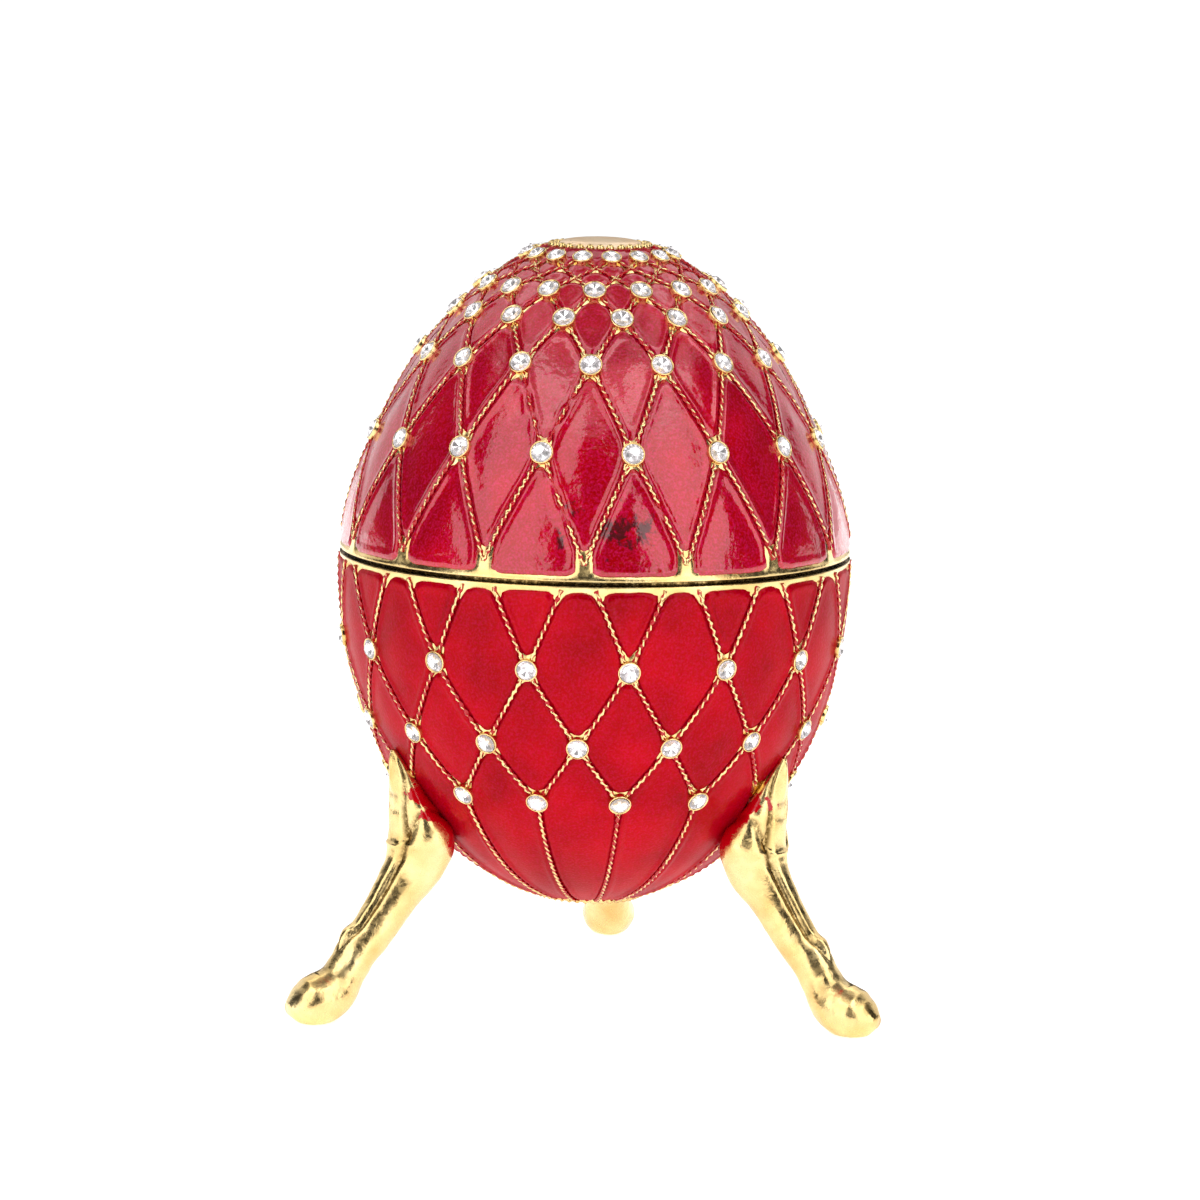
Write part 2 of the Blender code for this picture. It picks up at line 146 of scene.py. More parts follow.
def settle(points):
    """Points moved onto the egg's surface."""
    points = np.array(points, float)
    for _ in range(SETTLE_ROUNDS):
        normals = egg_normals(points)
        level = np.hypot(normals[:, 0], normals[:, 1])
        short = (egg_radius(points[:, 2]) - np.hypot(points[:, 0], points[:, 1])) * level
        points += normals * short[:, None]
    return points


def ring_point(azimuth, z, radius=None):
    """A point at an azimuth counted from the front towards the right, on the egg unless a radius is given."""
    reach = float(egg_radius(z)) if radius is None else radius
    return np.array([reach * math.sin(azimuth), -reach * math.cos(azimuth), z])


def spin(points, angle):
    """Points turned round the egg's axis, towards the right."""
    c, s = math.cos(angle), math.sin(angle)
    turned = np.array(points, float)
    turned[:, 0] = points[:, 0] * c - points[:, 1] * s
    turned[:, 1] = points[:, 0] * s + points[:, 1] * c
    return turned


def waves(points, size, seed):
    """Smooth noise of about -1 to 1 with features of a given size, the same each run."""
    rng = np.random.default_rng(seed)
    total = np.zeros(len(points))
    for _ in range(9):
        direction = rng.normal(size=3)
        direction /= np.linalg.norm(direction)
        turns = 2 * math.pi / (size * rng.uniform(0.7, 1.5))
        total += np.sin(points @ direction * turns + rng.uniform(0, 2 * math.pi))
    return total / 4.5


def smooth_step(low, high, value):
    share = np.clip((value - low) / (high - low), 0.0, 1.0)
    return share * share * (3 - 2 * share)


def flooding(points):
    """How far the enamel covers the ropes here, from 0 to 1."""
    cover = np.zeros(len(points))
    for degrees, height, reach in FLOODS:
        centre = ring_point(math.radians(degrees), height * MM)
        away = np.linalg.norm(points - centre, axis=1) / (reach * MM)
        cover = np.maximum(cover, np.exp(-away ** 2))
    return cover


def dress(piece, slot, finishes, *nodes):
    """Gives a piece its finishes and its body, and hides the nodes that it stands for; its slot is not used."""
    for finish in finishes:
        piece.data.materials.append(finish)
    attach(piece, "root")
    if nodes:
        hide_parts(*nodes)


def deselect():
    bpy.ops.object.select_all(action="DESELECT")


def keep_active(piece):
    deselect()
    piece.select_set(True)
    bpy.context.view_layer.objects.active = piece


def new_piece(name, points, faces, smooth=True):
    """A piece from points and faces, with its faces turned outwards."""
    mesh = bpy.data.meshes.new(name)
    mesh.from_pydata(points, [], faces)
    piece = bpy.data.objects.new(name, mesh)
    bpy.context.scene.collection.objects.link(piece)
    keep_active(piece)
    bpy.ops.object.mode_set(mode="EDIT")
    bpy.ops.mesh.select_all(action="SELECT")
    bpy.ops.mesh.normals_make_consistent(inside=False)
    bpy.ops.object.mode_set(mode="OBJECT")
    if smooth:
        mesh.shade_smooth()
    return piece


def note(mesh, label, values):
    """Keeps a number for each point of a mesh, for its finish to read."""
    mesh.attributes.new(label, "FLOAT", "POINT").data.foreach_set("value", values)


def places_of(mesh):
    places = np.empty(len(mesh.vertices) * 3, np.float32)
    mesh.vertices.foreach_get("co", places)
    return places.reshape(-1, 3)


# Lattice

EDGE_STEP = 0.55 * MM
FEWEST_STEPS = 4
MOST_STEPS = 19


def lattice(levels, start, first_turned):
    """The crossings, row by row, each row half a panel on from the last."""
    rows = []
    for number, z in enumerate(levels):
        turn = start + PANEL / 2 * ((number + first_turned) % 2)
        rows.append([(turn + PANEL * place, z) for place in range(PANELS_ROUND)])
    return rows


def lid_rows():
    return lattice([share * LID_HEIGHT for share in LID_ROWS], LATTICE_TURN + LID_TURN, 0)


def base_rows():
    return lattice([-share * BASE_SEMI_AXIS for share in BASE_ROWS], LATTICE_TURN, 1)


def nearest(azimuth, other):
    """An azimuth with whole turns added or taken off, so that it lies nearest to another."""
    return other + (azimuth - other + math.pi) % (2 * math.pi) - math.pi


def crowded(steps, ease):
    """Shares from 0 to 1, closer together near both ends."""
    even = np.linspace(0, 1, steps + 1)
    return ease * (1 - np.cos(even * math.pi)) / 2 + (1 - ease) * even


def edge_points(start, end):
    """A lattice edge on the egg between two crossings, with its points closer together near its ends."""
    start, end = ring_point(*start), ring_point(*end)
    steps = int(min(max(np.linalg.norm(end - start) / EDGE_STEP, FEWEST_STEPS), MOST_STEPS))
    return settle(start + (end - start) * crowded(steps, 0.65)[:, None])


def boundary(corners):
    """A cell's side: the lattice edges through its corners, one after the other."""
    runs = [edge_points(start, end) for start, end in zip(corners, corners[1:])]
    return np.concatenate([runs[0]] + [run[1:] for run in runs[1:]])


def edge_distance(points, start, end):
    along = end - start
    share = np.clip((points - start) @ along / max(along @ along, 1e-12), 0, 1)
    return np.linalg.norm(points - start - share[:, None] * along, axis=1)


class Cell:
    """One panel of the lattice: its grid of points, how far each is inside, and how far from bare gold."""

    def __init__(self, left, right, widths, across, rounding, bare):
        left, right = boundary(left), boundary(right)
        grid = left[:, None] + (right - left)[:, None] * crowded(across, 0.85)[None, :, None]
        self.shape = grid.shape[:2]
        self.points = settle(grid.reshape(-1, 3))
        total = np.zeros(len(self.points))
        for (start, end), width in widths:
            run = edge_points(start, end)
            near = np.min([edge_distance(self.points, a, b) for a, b in zip(run, run[1:])], axis=0)
            total += np.exp(-np.clip((near - width) / rounding, -30, 30))
        self.inside = -rounding * np.log(np.maximum(total, 1e-12))
        self.covered = np.full(len(self.points), 9 * MM)
        for start, end, width in bare:
            away = edge_distance(self.points, ring_point(*start), ring_point(*end))
            self.covered = np.minimum(self.covered, away - width)

    def faces(self, first):
        rows, columns = self.shape
        made = []
        for row in range(rows - 1):
            for column in range(columns - 1):
                corner = first + row * columns + column
                made.append((corner, corner + 1, corner + columns + 1, corner + columns))
        return made


ROPE_BED = 0.36 * MM
TRUNK_BED = 0.62 * MM
LID_RIM_BED = 0.20 * MM
BASE_RIM_BED = 0.25 * MM
CROWN_BED = 0.10 * MM
UNDERSIDE_BED = 0.30 * MM
CORNER_ROUNDING = 0.42 * MM
BARE_COLLET = 1.52 * MM
BARE_FORK = 1.20 * MM
BARE_CROSSING = 0.45 * MM
BARE_RIM = 0.70 * MM

# Columns of points across each row of panels, counted from the rim
LID_COLUMNS = (34, 34, 32, 24, 18, 14, 10)
CROWN_COLUMNS = 10
BASE_COLUMNS = (26, 34, 34, 30)
LARGE_LID_ROWS = 3
CASTING_FINENESS = 0.6


def spots(crossings, width):
    """Bare gold round crossings, as runs of no length."""
    return [(crossing, crossing, width) for crossing in crossings]


def panel(left, right, across, bare, end_bed=None, rounding=CORNER_ROUNDING, roped=3):
    """A cell between two chains of corners, with beds along the roped ones and, if given, across its end."""
    chains = (left[:roped], right[:roped])
    widths = [(pair, ROPE_BED) for chain in chains for pair in zip(chain, chain[1:])]
    if end_bed:
        widths.append(((left[-1], right[-1]), end_bed))
    return Cell(left, right, widths, across, rounding, bare)


def lid_cells(fineness):
    rows = lid_rows()
    fork, first = rows[:2]
    rim = [(azimuth, RIM_BAND) for azimuth, _ in fork]
    trunks = [(rim[side], fork[side]) for side in (0, 1)]
    widths = [(trunk, TRUNK_BED) for trunk in trunks] + [((rim[0], rim[1]), LID_RIM_BED)]
    widths += [((fork[side], first[0]), ROPE_BED) for side in (0, 1)]
    bare = [(*run, BARE_RIM) for run in ((rim[0], rim[1]), *trunks)]
    bare += spots([first[0]], BARE_COLLET) + spots(fork[:2], BARE_FORK)
    left, right = [(*trunk, first[0]) for trunk in trunks]
    cells = [Cell(left, right, widths, int(LID_COLUMNS[0] * fineness), CORNER_ROUNDING, bare)]
    reach = [BARE_COLLET if row in LID_SET_ROWS else BARE_CROSSING for row in range(len(rows))]
    reach[0] = BARE_FORK
    for number in range(len(rows) - 2):
        low, side, top = rows[number:number + 3]
        # An even row's diamond has the side row's crossings half a panel before and after it
        sides = side[number % 2:number % 2 + 2]
        bare = spots([low[1]], reach[number]) + spots(sides, reach[number + 1]) + spots([top[1]], reach[number + 2])
        left, right = [[low[1], middle, top[1]] for middle in sides]
        cells.append(panel(left, right, int(LID_COLUMNS[number + 1] * fineness), bare,
                           rounding=CORNER_ROUNDING if number < LARGE_LID_ROWS else CORNER_ROUNDING / 2))
    low, side = rows[-2:]
    left, right = [[low[1], crossing, (crossing[0], CROWN_LEVEL)] for crossing in side[:2]]
    cells.append(panel(left, right, CROWN_COLUMNS, spots(side[:2], BARE_COLLET), CROWN_BED, CORNER_ROUNDING / 2, 2))
    return cells


def base_cells(fineness):
    first, second, third = base_rows()
    half = BASE_RIM_GAP / 2 / WAIST
    rim_left, rim_right = [[(azimuth + turn, -RIM_BAND) for azimuth, _ in second] for turn in (-half, half)]
    ring = [(azimuth, UNDERSIDE_LEVEL) for azimuth, _ in third]
    columns = [int(count * fineness) for count in BASE_COLUMNS]
    bare = [(rim_right[0], rim_left[1], BARE_RIM)] + spots([first[0]], BARE_COLLET)
    cells = [panel([first[0], rim_right[0]], [first[0], rim_left[1]], columns[0], bare, BASE_RIM_BED)]
    bare = [(rim_left[1], rim_right[1], BARE_RIM)] + spots([second[1], *first[:2]], BARE_COLLET)
    bare += spots([rim_left[1], rim_right[1]], BARE_FORK)
    cells.append(panel([second[1], first[0], rim_left[1]], [second[1], first[1], rim_right[1]], columns[1], bare,
                       BASE_RIM_BED))
    bare = spots([third[0], first[0], *second[:2]], BARE_COLLET)
    cells.append(panel([third[0], second[0], first[0]], [third[0], second[1], first[0]], columns[2], bare))
    bare = spots([second[1], *third[:2]], BARE_COLLET)
    cells.append(panel([second[1], third[0], ring[0]], [second[1], third[1], ring[1]], columns[3], bare,
                       UNDERSIDE_BED))
    return cells


def gold_height(points, inside, covered):
    """The casting's own surface: raised at bare gold, a bed under each rope and a floor under each panel."""
    bed = (-0.04 - 0.10 * smooth_step(-0.20 * MM, 0.20 * MM, covered)) * MM
    under = np.clip(smooth_step(-0.22 * MM, 0.10 * MM, inside) + flooding(points), 0, 1)
    return bed + (-0.34 * MM - bed) * under


def enamel_height(points, inside, covered):
    """The enamel: a thin coat along the ropes, none on bare gold, and a poured field with a raised bank."""
    ragged = inside + 0.05 * MM * waves(points, 1.1 * MM, 3) + 0.03 * MM * waves(points, 0.5 * MM, 4)
    ragged += 0.75 * MM * flooding(points)
    patchy = covered + 0.30 * MM * waves(points, 1.6 * MM, 6)
    channel = (-0.44 + 0.33 * smooth_step(-0.20 * MM, 0.20 * MM, patchy)) * MM
    rise = 1 - np.exp(-np.clip(ragged + 0.16 * MM, 0, None) / (0.10 * MM))
    bank = 0.15 * MM * np.exp(-((ragged - 0.20 * MM) / (0.24 * MM)) ** 2)
    dome = smooth_step(0.4 * MM, 3.2 * MM, inside) * 0.10 * MM
    uneven = 0.018 * MM * waves(points, 5.0 * MM, 5) * smooth_step(0.1 * MM, 1.0 * MM, inside)
    field = -0.05 * MM + bank + dome + uneven + 0.14 * MM * flooding(points)
    return channel + (field - channel) * rise


def step_ring(bm, ring, radius, z):
    made = bmesh.ops.extrude_edge_only(bm, edges=ring)["geom"]
    for vertex in (item for item in made if isinstance(item, bmesh.types.BMVert)):
        azimuth = math.atan2(vertex.co.x - AXIS.x, AXIS.y - vertex.co.y)
        vertex.co = AXIS + Vector(ring_point(azimuth, z, radius))
    return [item for item in made if isinstance(item, bmesh.types.BMEdge) and item.is_boundary]


def close_shell(piece, rim_profile, end_profile, rim_side):
    """Carries the rim of a casting round its lip and inner wall, and its far end in, and closes both."""
    bm = bmesh.new()
    bm.from_mesh(piece.data)
    open_edges = [edge for edge in bm.edges if edge.is_boundary]
    middle = AXIS.z + rim_side * WAIST / 2
    rim = [edge for edge in open_edges if (edge.verts[0].co.z - middle) * rim_side < 0]
    far = [edge for edge in open_edges if edge not in rim]
    for radius, z in rim_profile:
        rim = step_ring(bm, rim, radius, z)
    for radius, z in end_profile:
        far = step_ring(bm, far, radius, z)
    bmesh.ops.edgenet_fill(bm, edges=rim)
    bmesh.ops.edgenet_fill(bm, edges=far)
    bmesh.ops.recalc_face_normals(bm, faces=bm.faces)
    bm.to_mesh(piece.data)
    bm.free()
    piece.data.shade_smooth()
    keep_active(piece)
    bpy.ops.object.shade_smooth_by_angle(angle=SHARP_ANGLE)


def inner_wall(start_radius, height_at, sign, rings=14):
    """The inner wall's outline from the rim to the closed end."""
    profile = []
    for number in range(1, rings + 1):
        angle = math.pi / 2 * number / rings
        radius = CROWN_RADIUS + (start_radius - CROWN_RADIUS) * math.cos(angle)
        depth = height_at(min(radius + WALL * math.cos(angle), WAIST))
        profile.append((radius, sign * (depth - WALL * math.sin(angle))))
    return profile


def rounded_rim(sign, outer, inner):
    """A rim's outline with a small rounding on both edges."""
    gap = PARTING_GAP / 2
    turns = [(1 - math.cos(angle), 1 - math.sin(angle)) for angle in np.linspace(0, math.pi / 2, 4)]
    points = [(outer - RIM_EDGE * across, sign * (gap + RIM_EDGE * up)) for across, up in turns]
    return points + [(inner + RIM_EDGE * up, sign * (gap + RIM_EDGE * across)) for across, up in turns]


def seats():
    """Where each crystal sits: its half, row and place on the egg."""
    lid, base = lid_rows(), base_rows()
    found = [("lid", row, ring_point(*crossing)) for row in LID_SET_ROWS for crossing in lid[row]]
    for row, crossings in enumerate(base):
        found += [("base", row, ring_point(*crossing)) for crossing in crossings if not under_a_leg(*crossing)]
    return found


def crystal_size(seat):
    """How large a seat's crystal is: the lid's top row has the smallest."""
    return TOP_ROW_SIZE if seat[:2] == ("lid", LID_SET_ROWS[-1]) else CRYSTAL_SIZES[seat[0]]


def under_a_leg(azimuth, z):
    reach = (2 * LEG_HALF_WIDTH + COLLET_RADIUS) / float(egg_radius(z))
    turns = [math.remainder(azimuth - math.radians(degrees), 2 * math.pi) for degrees in LEG_AZIMUTHS.values()]
    return -z >= LEG_SEAT_DEPTH and min(abs(turn) for turn in turns) < reach


def seat_matrix(seat, jitter):
    """Stands a small shape on its seat, at the seat's size, turned and leaned a little by its jitter."""
    normal = Vector(egg_normals(seat[2][None])[0])
    turn = normal.to_track_quat("Z", "Y").to_matrix().to_4x4()
    lean = Matrix.Rotation(jitter[0], 4, "X") @ Matrix.Rotation(jitter[1], 4, "Y") @ Matrix.Rotation(jitter[2], 4, "Z")
    return Matrix.Translation(AXIS + Vector(seat[2])) @ turn @ lean @ Matrix.Scale(crystal_size(seat), 4)


# Finishes

ENAMEL_REDS = ((0.32, 0.0, 0.001), (0.42, 0.0, 0.003), (0.52, 0.001, 0.005))
# Pink of the glints painted into the enamel
PAINTED_GLINT_PINK = (0.95, 0.02, 0.24)
STAIN = (0.03, 0.008, 0.008)
THIN_ENAMEL = (0.45, 0.0, 0.004)
HOLLOW_DARK_AND_GAP_SHADE = (0.10, 0.055, 0.012)
# Painted shade in the gap between the halves, and darker gold in the legs' hollows
ROPE_GOLD = (0.86, 0.64, 0.30)
GOLD_TONES = ((0.3, (0.72, 0.49, 0.18)), (0.55, (0.86, 0.63, 0.28)), (0.8, (0.95, 0.76, 0.40)))
DISC_TONES = ((0.35, (0.96, 0.70, 0.46)), (0.65, (0.99, 0.80, 0.58)))
SILVER_TONES = ((0.35, (0.86, 0.80, 0.80)), (0.7, (1.0, 0.98, 0.98)))


def put(tree, socket, value):
    """Links an output to a socket, or sets the socket's own number or colour."""
    if isinstance(value, bpy.types.NodeSocket):
        tree.links.new(value, socket)
    else:
        socket.default_value = (*value, 1.0) if socket.type == "RGBA" else value


def new_material(name):
    made = bpy.data.materials.new(name)
    made.use_nodes = True
    return made, made.node_tree


def shade(made, sockets):
    """Sets the named sockets of a material's shader."""
    shader = made.node_tree.nodes["Principled BSDF"]
    for name, value in sockets.items():
        put(made.node_tree, shader.inputs[name], value)
    return made


def add_node(tree, kind, **values):
    node = tree.nodes.new(kind)
    for name, value in values.items():
        if name in node.inputs:
            put(tree, node.inputs[name], value)
        else:
            setattr(node, name, value)
    return node


def noise(tree, scale, detail=3.0, roughness=0.5, distortion=0.0):
    place = add_node(tree, "ShaderNodeTexCoord").outputs["Object"]
    return add_node(tree, "ShaderNodeTexNoise", Vector=place, Scale=scale, Detail=detail, Roughness=roughness,
                    Distortion=distortion).outputs["Fac"]


def ramp(tree, value, stops):
    """A colour ramp through (place, colour) stops."""
    made = add_node(tree, "ShaderNodeValToRGB", Fac=value)
    elements = made.color_ramp.elements
    while len(elements) < len(stops):
        elements.new(0.5)
    for element, (place, colour) in zip(elements, stops):
        element.position = place
        element.color = (*colour, 1.0)
    return made.outputs["Color"]


def greys(tree, value, *stops):
    """A ramp through (place, level) stops."""
    return ramp(tree, value, [(place, (level,) * 3) for place, level in stops])


def mix_colours(tree, factor, first, second):
    made = add_node(tree, "ShaderNodeMix", data_type="RGBA")
    # A mix node's sockets for colours are its first, seventh and eighth
    for number, value in zip((0, 6, 7), (factor, first, second)):
        put(tree, made.inputs[number], value)
    return made.outputs[2]


def bump(tree, height, distance, strength=1.0, under=None):
    made = add_node(tree, "ShaderNodeBump", Height=height, Distance=distance, Strength=strength)
    if under is not None:
        put(tree, made.inputs["Normal"], under)
    return made.outputs["Normal"]


def maths(tree, operation, first, second):
    made = add_node(tree, "ShaderNodeMath", operation=operation)
    for socket, value in zip(made.inputs, (first, second)):
        put(tree, socket, value)
    return made.outputs[0]


def attribute(tree, name):
    return add_node(tree, "ShaderNodeAttribute", attribute_name=name).outputs["Fac"]


def near(tree, centre, reach):
    """1 at a place on the object, falling to 0 at a distance."""
    away = add_node(tree, "ShaderNodeVectorMath", operation="DISTANCE")
    put(tree, away.inputs[0], add_node(tree, "ShaderNodeTexCoord").outputs["Object"])
    put(tree, away.inputs[1], centre)
    fall = add_node(tree, "ShaderNodeMapRange", Value=away.outputs["Value"], **{"From Min": reach, "From Max": 0.0})
    return fall.outputs["Result"]


def enamel_material(name, tone, grain, coat):
    """Deep red enamel with pink specks painted into its colour for the glints and sheen of its flake, under a clear
    coat; the grain is how coarse it looks.
    """
    made, tree = new_material(name)
    speck = noise(tree, 4200.0, 2.0)
    fine = noise(tree, 7500.0, 2.0)
    reds = [tuple(channel * tone for channel in red) for red in ENAMEL_REDS]
    colour = ramp(tree, noise(tree, 160.0), list(zip((0.30, 0.52, 0.75), reds)))
    # Pink specks painted into the colour: painted glints and sheen of the enamel's flake
    painted_glints = maths(tree, "MULTIPLY", greys(tree, speck, (0.42, 0), (0.75, 1)), 0.30 * grain)
    colour = mix_colours(tree, painted_glints, colour, PAINTED_GLINT_PINK)
    # Small flecks all over, and stains above the rim
    flecks = greys(tree, noise(tree, 420.0, 5.0, 0.75), (0.715, 0), (0.75, 1))
    marks = maths(tree, "MULTIPLY", flecks, 0.55)
    mottle = noise(tree, 620.0, 6.0, 0.68, 0.6)
    for degrees, height, reach, density in STAINS:
        centre = AXIS + Vector(ring_point(math.radians(degrees), height * MM))
        level = maths(tree, "ADD", maths(tree, "MULTIPLY", near(tree, centre, reach * MM), density), mottle)
        marks = maths(tree, "MAXIMUM", marks, greys(tree, level, (0.71, 0), (0.78, 1)))
    colour = mix_colours(tree, maths(tree, "MULTIPLY", marks, 0.85), colour, STAIN)
    skin = bump(tree, noise(tree, 900.0, 2.0), 0.08 * MM, 0.4 + 0.5 * grain)
    return shade(made, {
        "Base Color": colour, "Metallic": 0.35, "Roughness": greys(tree, fine, (0.3, 0.30), (0.7, 0.46)),
        "Normal": bump(tree, speck, 0.04 * MM, 0.9), "Coat Normal": bump(tree, fine, 0.01 * MM, 0.6 * grain, skin),
        "Specular IOR Level": 0.0, "Coat Weight": coat, "Coat Roughness": 0.05, "Coat IOR": 1.62})


def gold_material(name, dullness=1.0, darkening=None, red=None, pits=0.5):
    """Polished gold plate, with an attribute that darkens it in patches (painted shade in the gap between the halves,
    darker gold in the legs' hollows) and one for enamel that laps over it.
    """
    made, tree = new_material(name)
    roughness = bpy.context.scene.egg_metal.roughness * dullness
    colour = ramp(tree, noise(tree, 300.0), GOLD_TONES)
    rough = greys(tree, noise(tree, 1400.0, 4.0), (0.3, roughness * 0.7), (0.75, roughness * 1.6))
    metal = 1.0
    # Darker in patches where the attribute is high: painted shade on the castings in the gap between the halves,
    # darker gold in the legs' hollows
    if darkening:
        patches = greys(tree, noise(tree, 2200.0, 4.0, 0.7), (0.30, 0), (0.52, 1))
        colour = mix_colours(tree, maths(tree, "MULTIPLY", attribute(tree, darkening), patches), colour, HOLLOW_DARK_AND_GAP_SHADE)
    if red:
        edge = maths(tree, "ADD", attribute(tree, red), maths(tree, "MULTIPLY", noise(tree, 480.0, 4.0, 0.62), 2.0))
        lap = greys(tree, maths(tree, "SUBTRACT", edge, 0.98), (0.50, 0), (0.54, 1))
        colour = mix_colours(tree, lap, colour, THIN_ENAMEL)
        rough = mix_colours(tree, lap, rough, (0.12,) * 3)
        metal = maths(tree, "SUBTRACT", 1.0, lap)
    dents = bump(tree, noise(tree, 650.0), 0.12 * MM, pits)
    dents = bump(tree, noise(tree, 3800.0), 0.02 * MM, 0.5, dents)
    return shade(made, {"Base Color": colour, "Metallic": metal, "Roughness": rough, "Normal": dents})


def rope_material():
    """Gold on the ropes' crests, with enamel between the strands and over some stretches."""
    made, tree = new_material("rope gold")
    level = maths(tree, "ADD", attribute(tree, "crest"), maths(tree, "MULTIPLY", noise(tree, 900.0, 4.0), 1.1))
    painted = greys(tree, noise(tree, 150.0), (0.50, 0), (0.60, 1))
    level = maths(tree, "SUBTRACT", level, maths(tree, "MULTIPLY", painted, 0.26))
    gold = greys(tree, maths(tree, "SUBTRACT", level, 0.20), (0.76, 0), (0.86, 1))
    return shade(made, {
        "Base Color": mix_colours(tree, gold, THIN_ENAMEL, ROPE_GOLD), "Metallic": gold,
        "Roughness": mix_colours(tree, gold, (0.10,) * 3, (0.20,) * 3),
        "Normal": bump(tree, noise(tree, 3000.0), 0.03 * MM, 0.5)})


def disc_material():
    """Satin pale gold with fine scratches and a few dark pits."""
    made, tree = new_material("disc gold")
    pits = greys(tree, noise(tree, 1500.0, 3.0, 0.6), (0.66, 0), (0.72, 1))
    colour = mix_colours(tree, pits, ramp(tree, noise(tree, 260.0), DISC_TONES), (0.22, 0.13, 0.05))
    return shade(made, {"Base Color": colour, "Metallic": 0.55, "Roughness": 0.45,
                        "Normal": bump(tree, noise(tree, 2600.0, 4.0), 0.03 * MM, 0.6)})


def crystal_materials():
    """Clear cut crystal over a silvered back that has a faint painted glow."""
    clear, tree = new_material("clear crystal")
    shade(clear, {"Base Color": (0.97, 0.98, 1.0), "Transmission Weight": 1.0, "IOR": 1.56, "Roughness": 0.0,
                  "Normal": bump(tree, noise(tree, 900.0, 2.0), 0.02 * MM, 0.25)})
    back, tree = new_material("silvered back")
    # The emission is a painted glow that brightens the crystals
    shade(back, {"Base Color": ramp(tree, noise(tree, 700.0, 2.0), SILVER_TONES), "Metallic": 1.0,
                 "Roughness": 0.14, "Emission Color": (1.0, 0.94, 0.94), "Emission Strength": 0.16})
    return clear, back


CRYSTAL_SIDES = 8
GIRDLE_HEIGHT = 0.42 * MM
PAVILION_DEPTH = 0.40 * MM


def cut_crystal(girdle, table, crown):
    """One round-cut crystal: its table, crown facets, girdle and pointed back, as points, faces and finishes."""
    sides, height = CRYSTAL_SIDES, GIRDLE_HEIGHT
    points = circle(table, height + crown, sides) + circle(girdle, height, 2 * sides)
    tip = len(points)
    points.append((0.0, 0.0, height - PAVILION_DEPTH))
    faces, finishes = [], []
    faces.append(tuple(range(sides)))
    for side in range(sides):
        after = (side + 1) % sides
        low, middle, high = sides + 2 * side, sides + 2 * side + 1, sides + (2 * side + 2) % (2 * sides)
        faces += [(side, low, middle), (side, middle, after), (after, middle, high)]
    finishes += [0] * len(faces)
    for side in range(2 * sides):
        faces.append((tip, sides + (side + 1) % (2 * sides), sides + side))
        finishes.append(1)
    return np.array(points), faces, finishes


def band(first, rings, sides, closed=False):
    """The faces between rings of points that follow one another, and between the last and first if closed."""
    faces = []
    for ring in range(rings):
        low = first + ring * sides
        high = first + ((ring + 1) % rings if closed else ring + 1) * sides
        for side in range(sides):
            after = (side + 1) % sides
            faces.append((low + side, low + after, high + after, high + side))
    return faces


def tube(first, rings, sides):
    """The faces of a closed tube: its bands and both ends."""
    start, end = [tuple(first + ring * sides + side for side in range(sides)) for ring in (0, rings)]
    return band(first, rings, sides) + [start[::-1], end]


def circle(radius, height, sides):
    turns = [2 * math.pi * side / sides for side in range(sides)]
    return [(radius * math.cos(turn), radius * math.sin(turn), height) for turn in turns]


def lathe(profile, sides):
    """Rings of points round Z from (radius, height) pairs in millimetres, and the faces between them."""
    points = [point for radius, height in profile for point in circle(radius * MM, height * MM, sides)]
    return np.array(points), band(0, len(profile) - 1, sides)


def scatter(name, shape, faces, matrices, smooth=True):
    """One piece holding a copy of a small shape at each matrix."""
    points, every = [], []
    for number, matrix in enumerate(matrices):
        first = number * len(shape)
        points += [tuple(matrix @ Vector(point)) for point in shape.tolist()]
        every += [tuple(first + corner for corner in face) for face in faces]
    return new_piece(name, points, every, smooth)


def jitters(count, seed, lean):
    rng = np.random.default_rng(seed)
    return np.stack([rng.normal(0, lean, count), rng.normal(0, lean, count), rng.uniform(0, math.pi, count)], 1)


# Ropes

ROPE_STEP = 0.14 * MM
ROPE_PITCH = 0.85 * MM
ROPE_SIDES = 8
ROPE_LONG = 0.25 * MM
ROPE_SHORT = 0.13 * MM
ROPE_LIFT = 0.02 * MM
SHORTEST_ROPE = 0.3 * MM
COLLET_OUTER = 1.18 * MM
COLLET_CLEAR = COLLET_OUTER - 0.1 * MM
RING_SIDES = 8
RING_STEPS = 220
RING_TURNS = 40
ROPE_TURN = 2.4


def twisted(turn, long, short, sides):
    """A twisted pair of wires in section: how far its points lie sideways and upwards at each turn."""
    angles = np.linspace(0, 2 * math.pi, sides, endpoint=False)
    wide, thin = long * np.cos(angles), short * np.sin(angles)
    c, s = np.cos(turn)[:, None], np.sin(turn)[:, None]
    return c * wide - s * thin, s * wide + c * thin


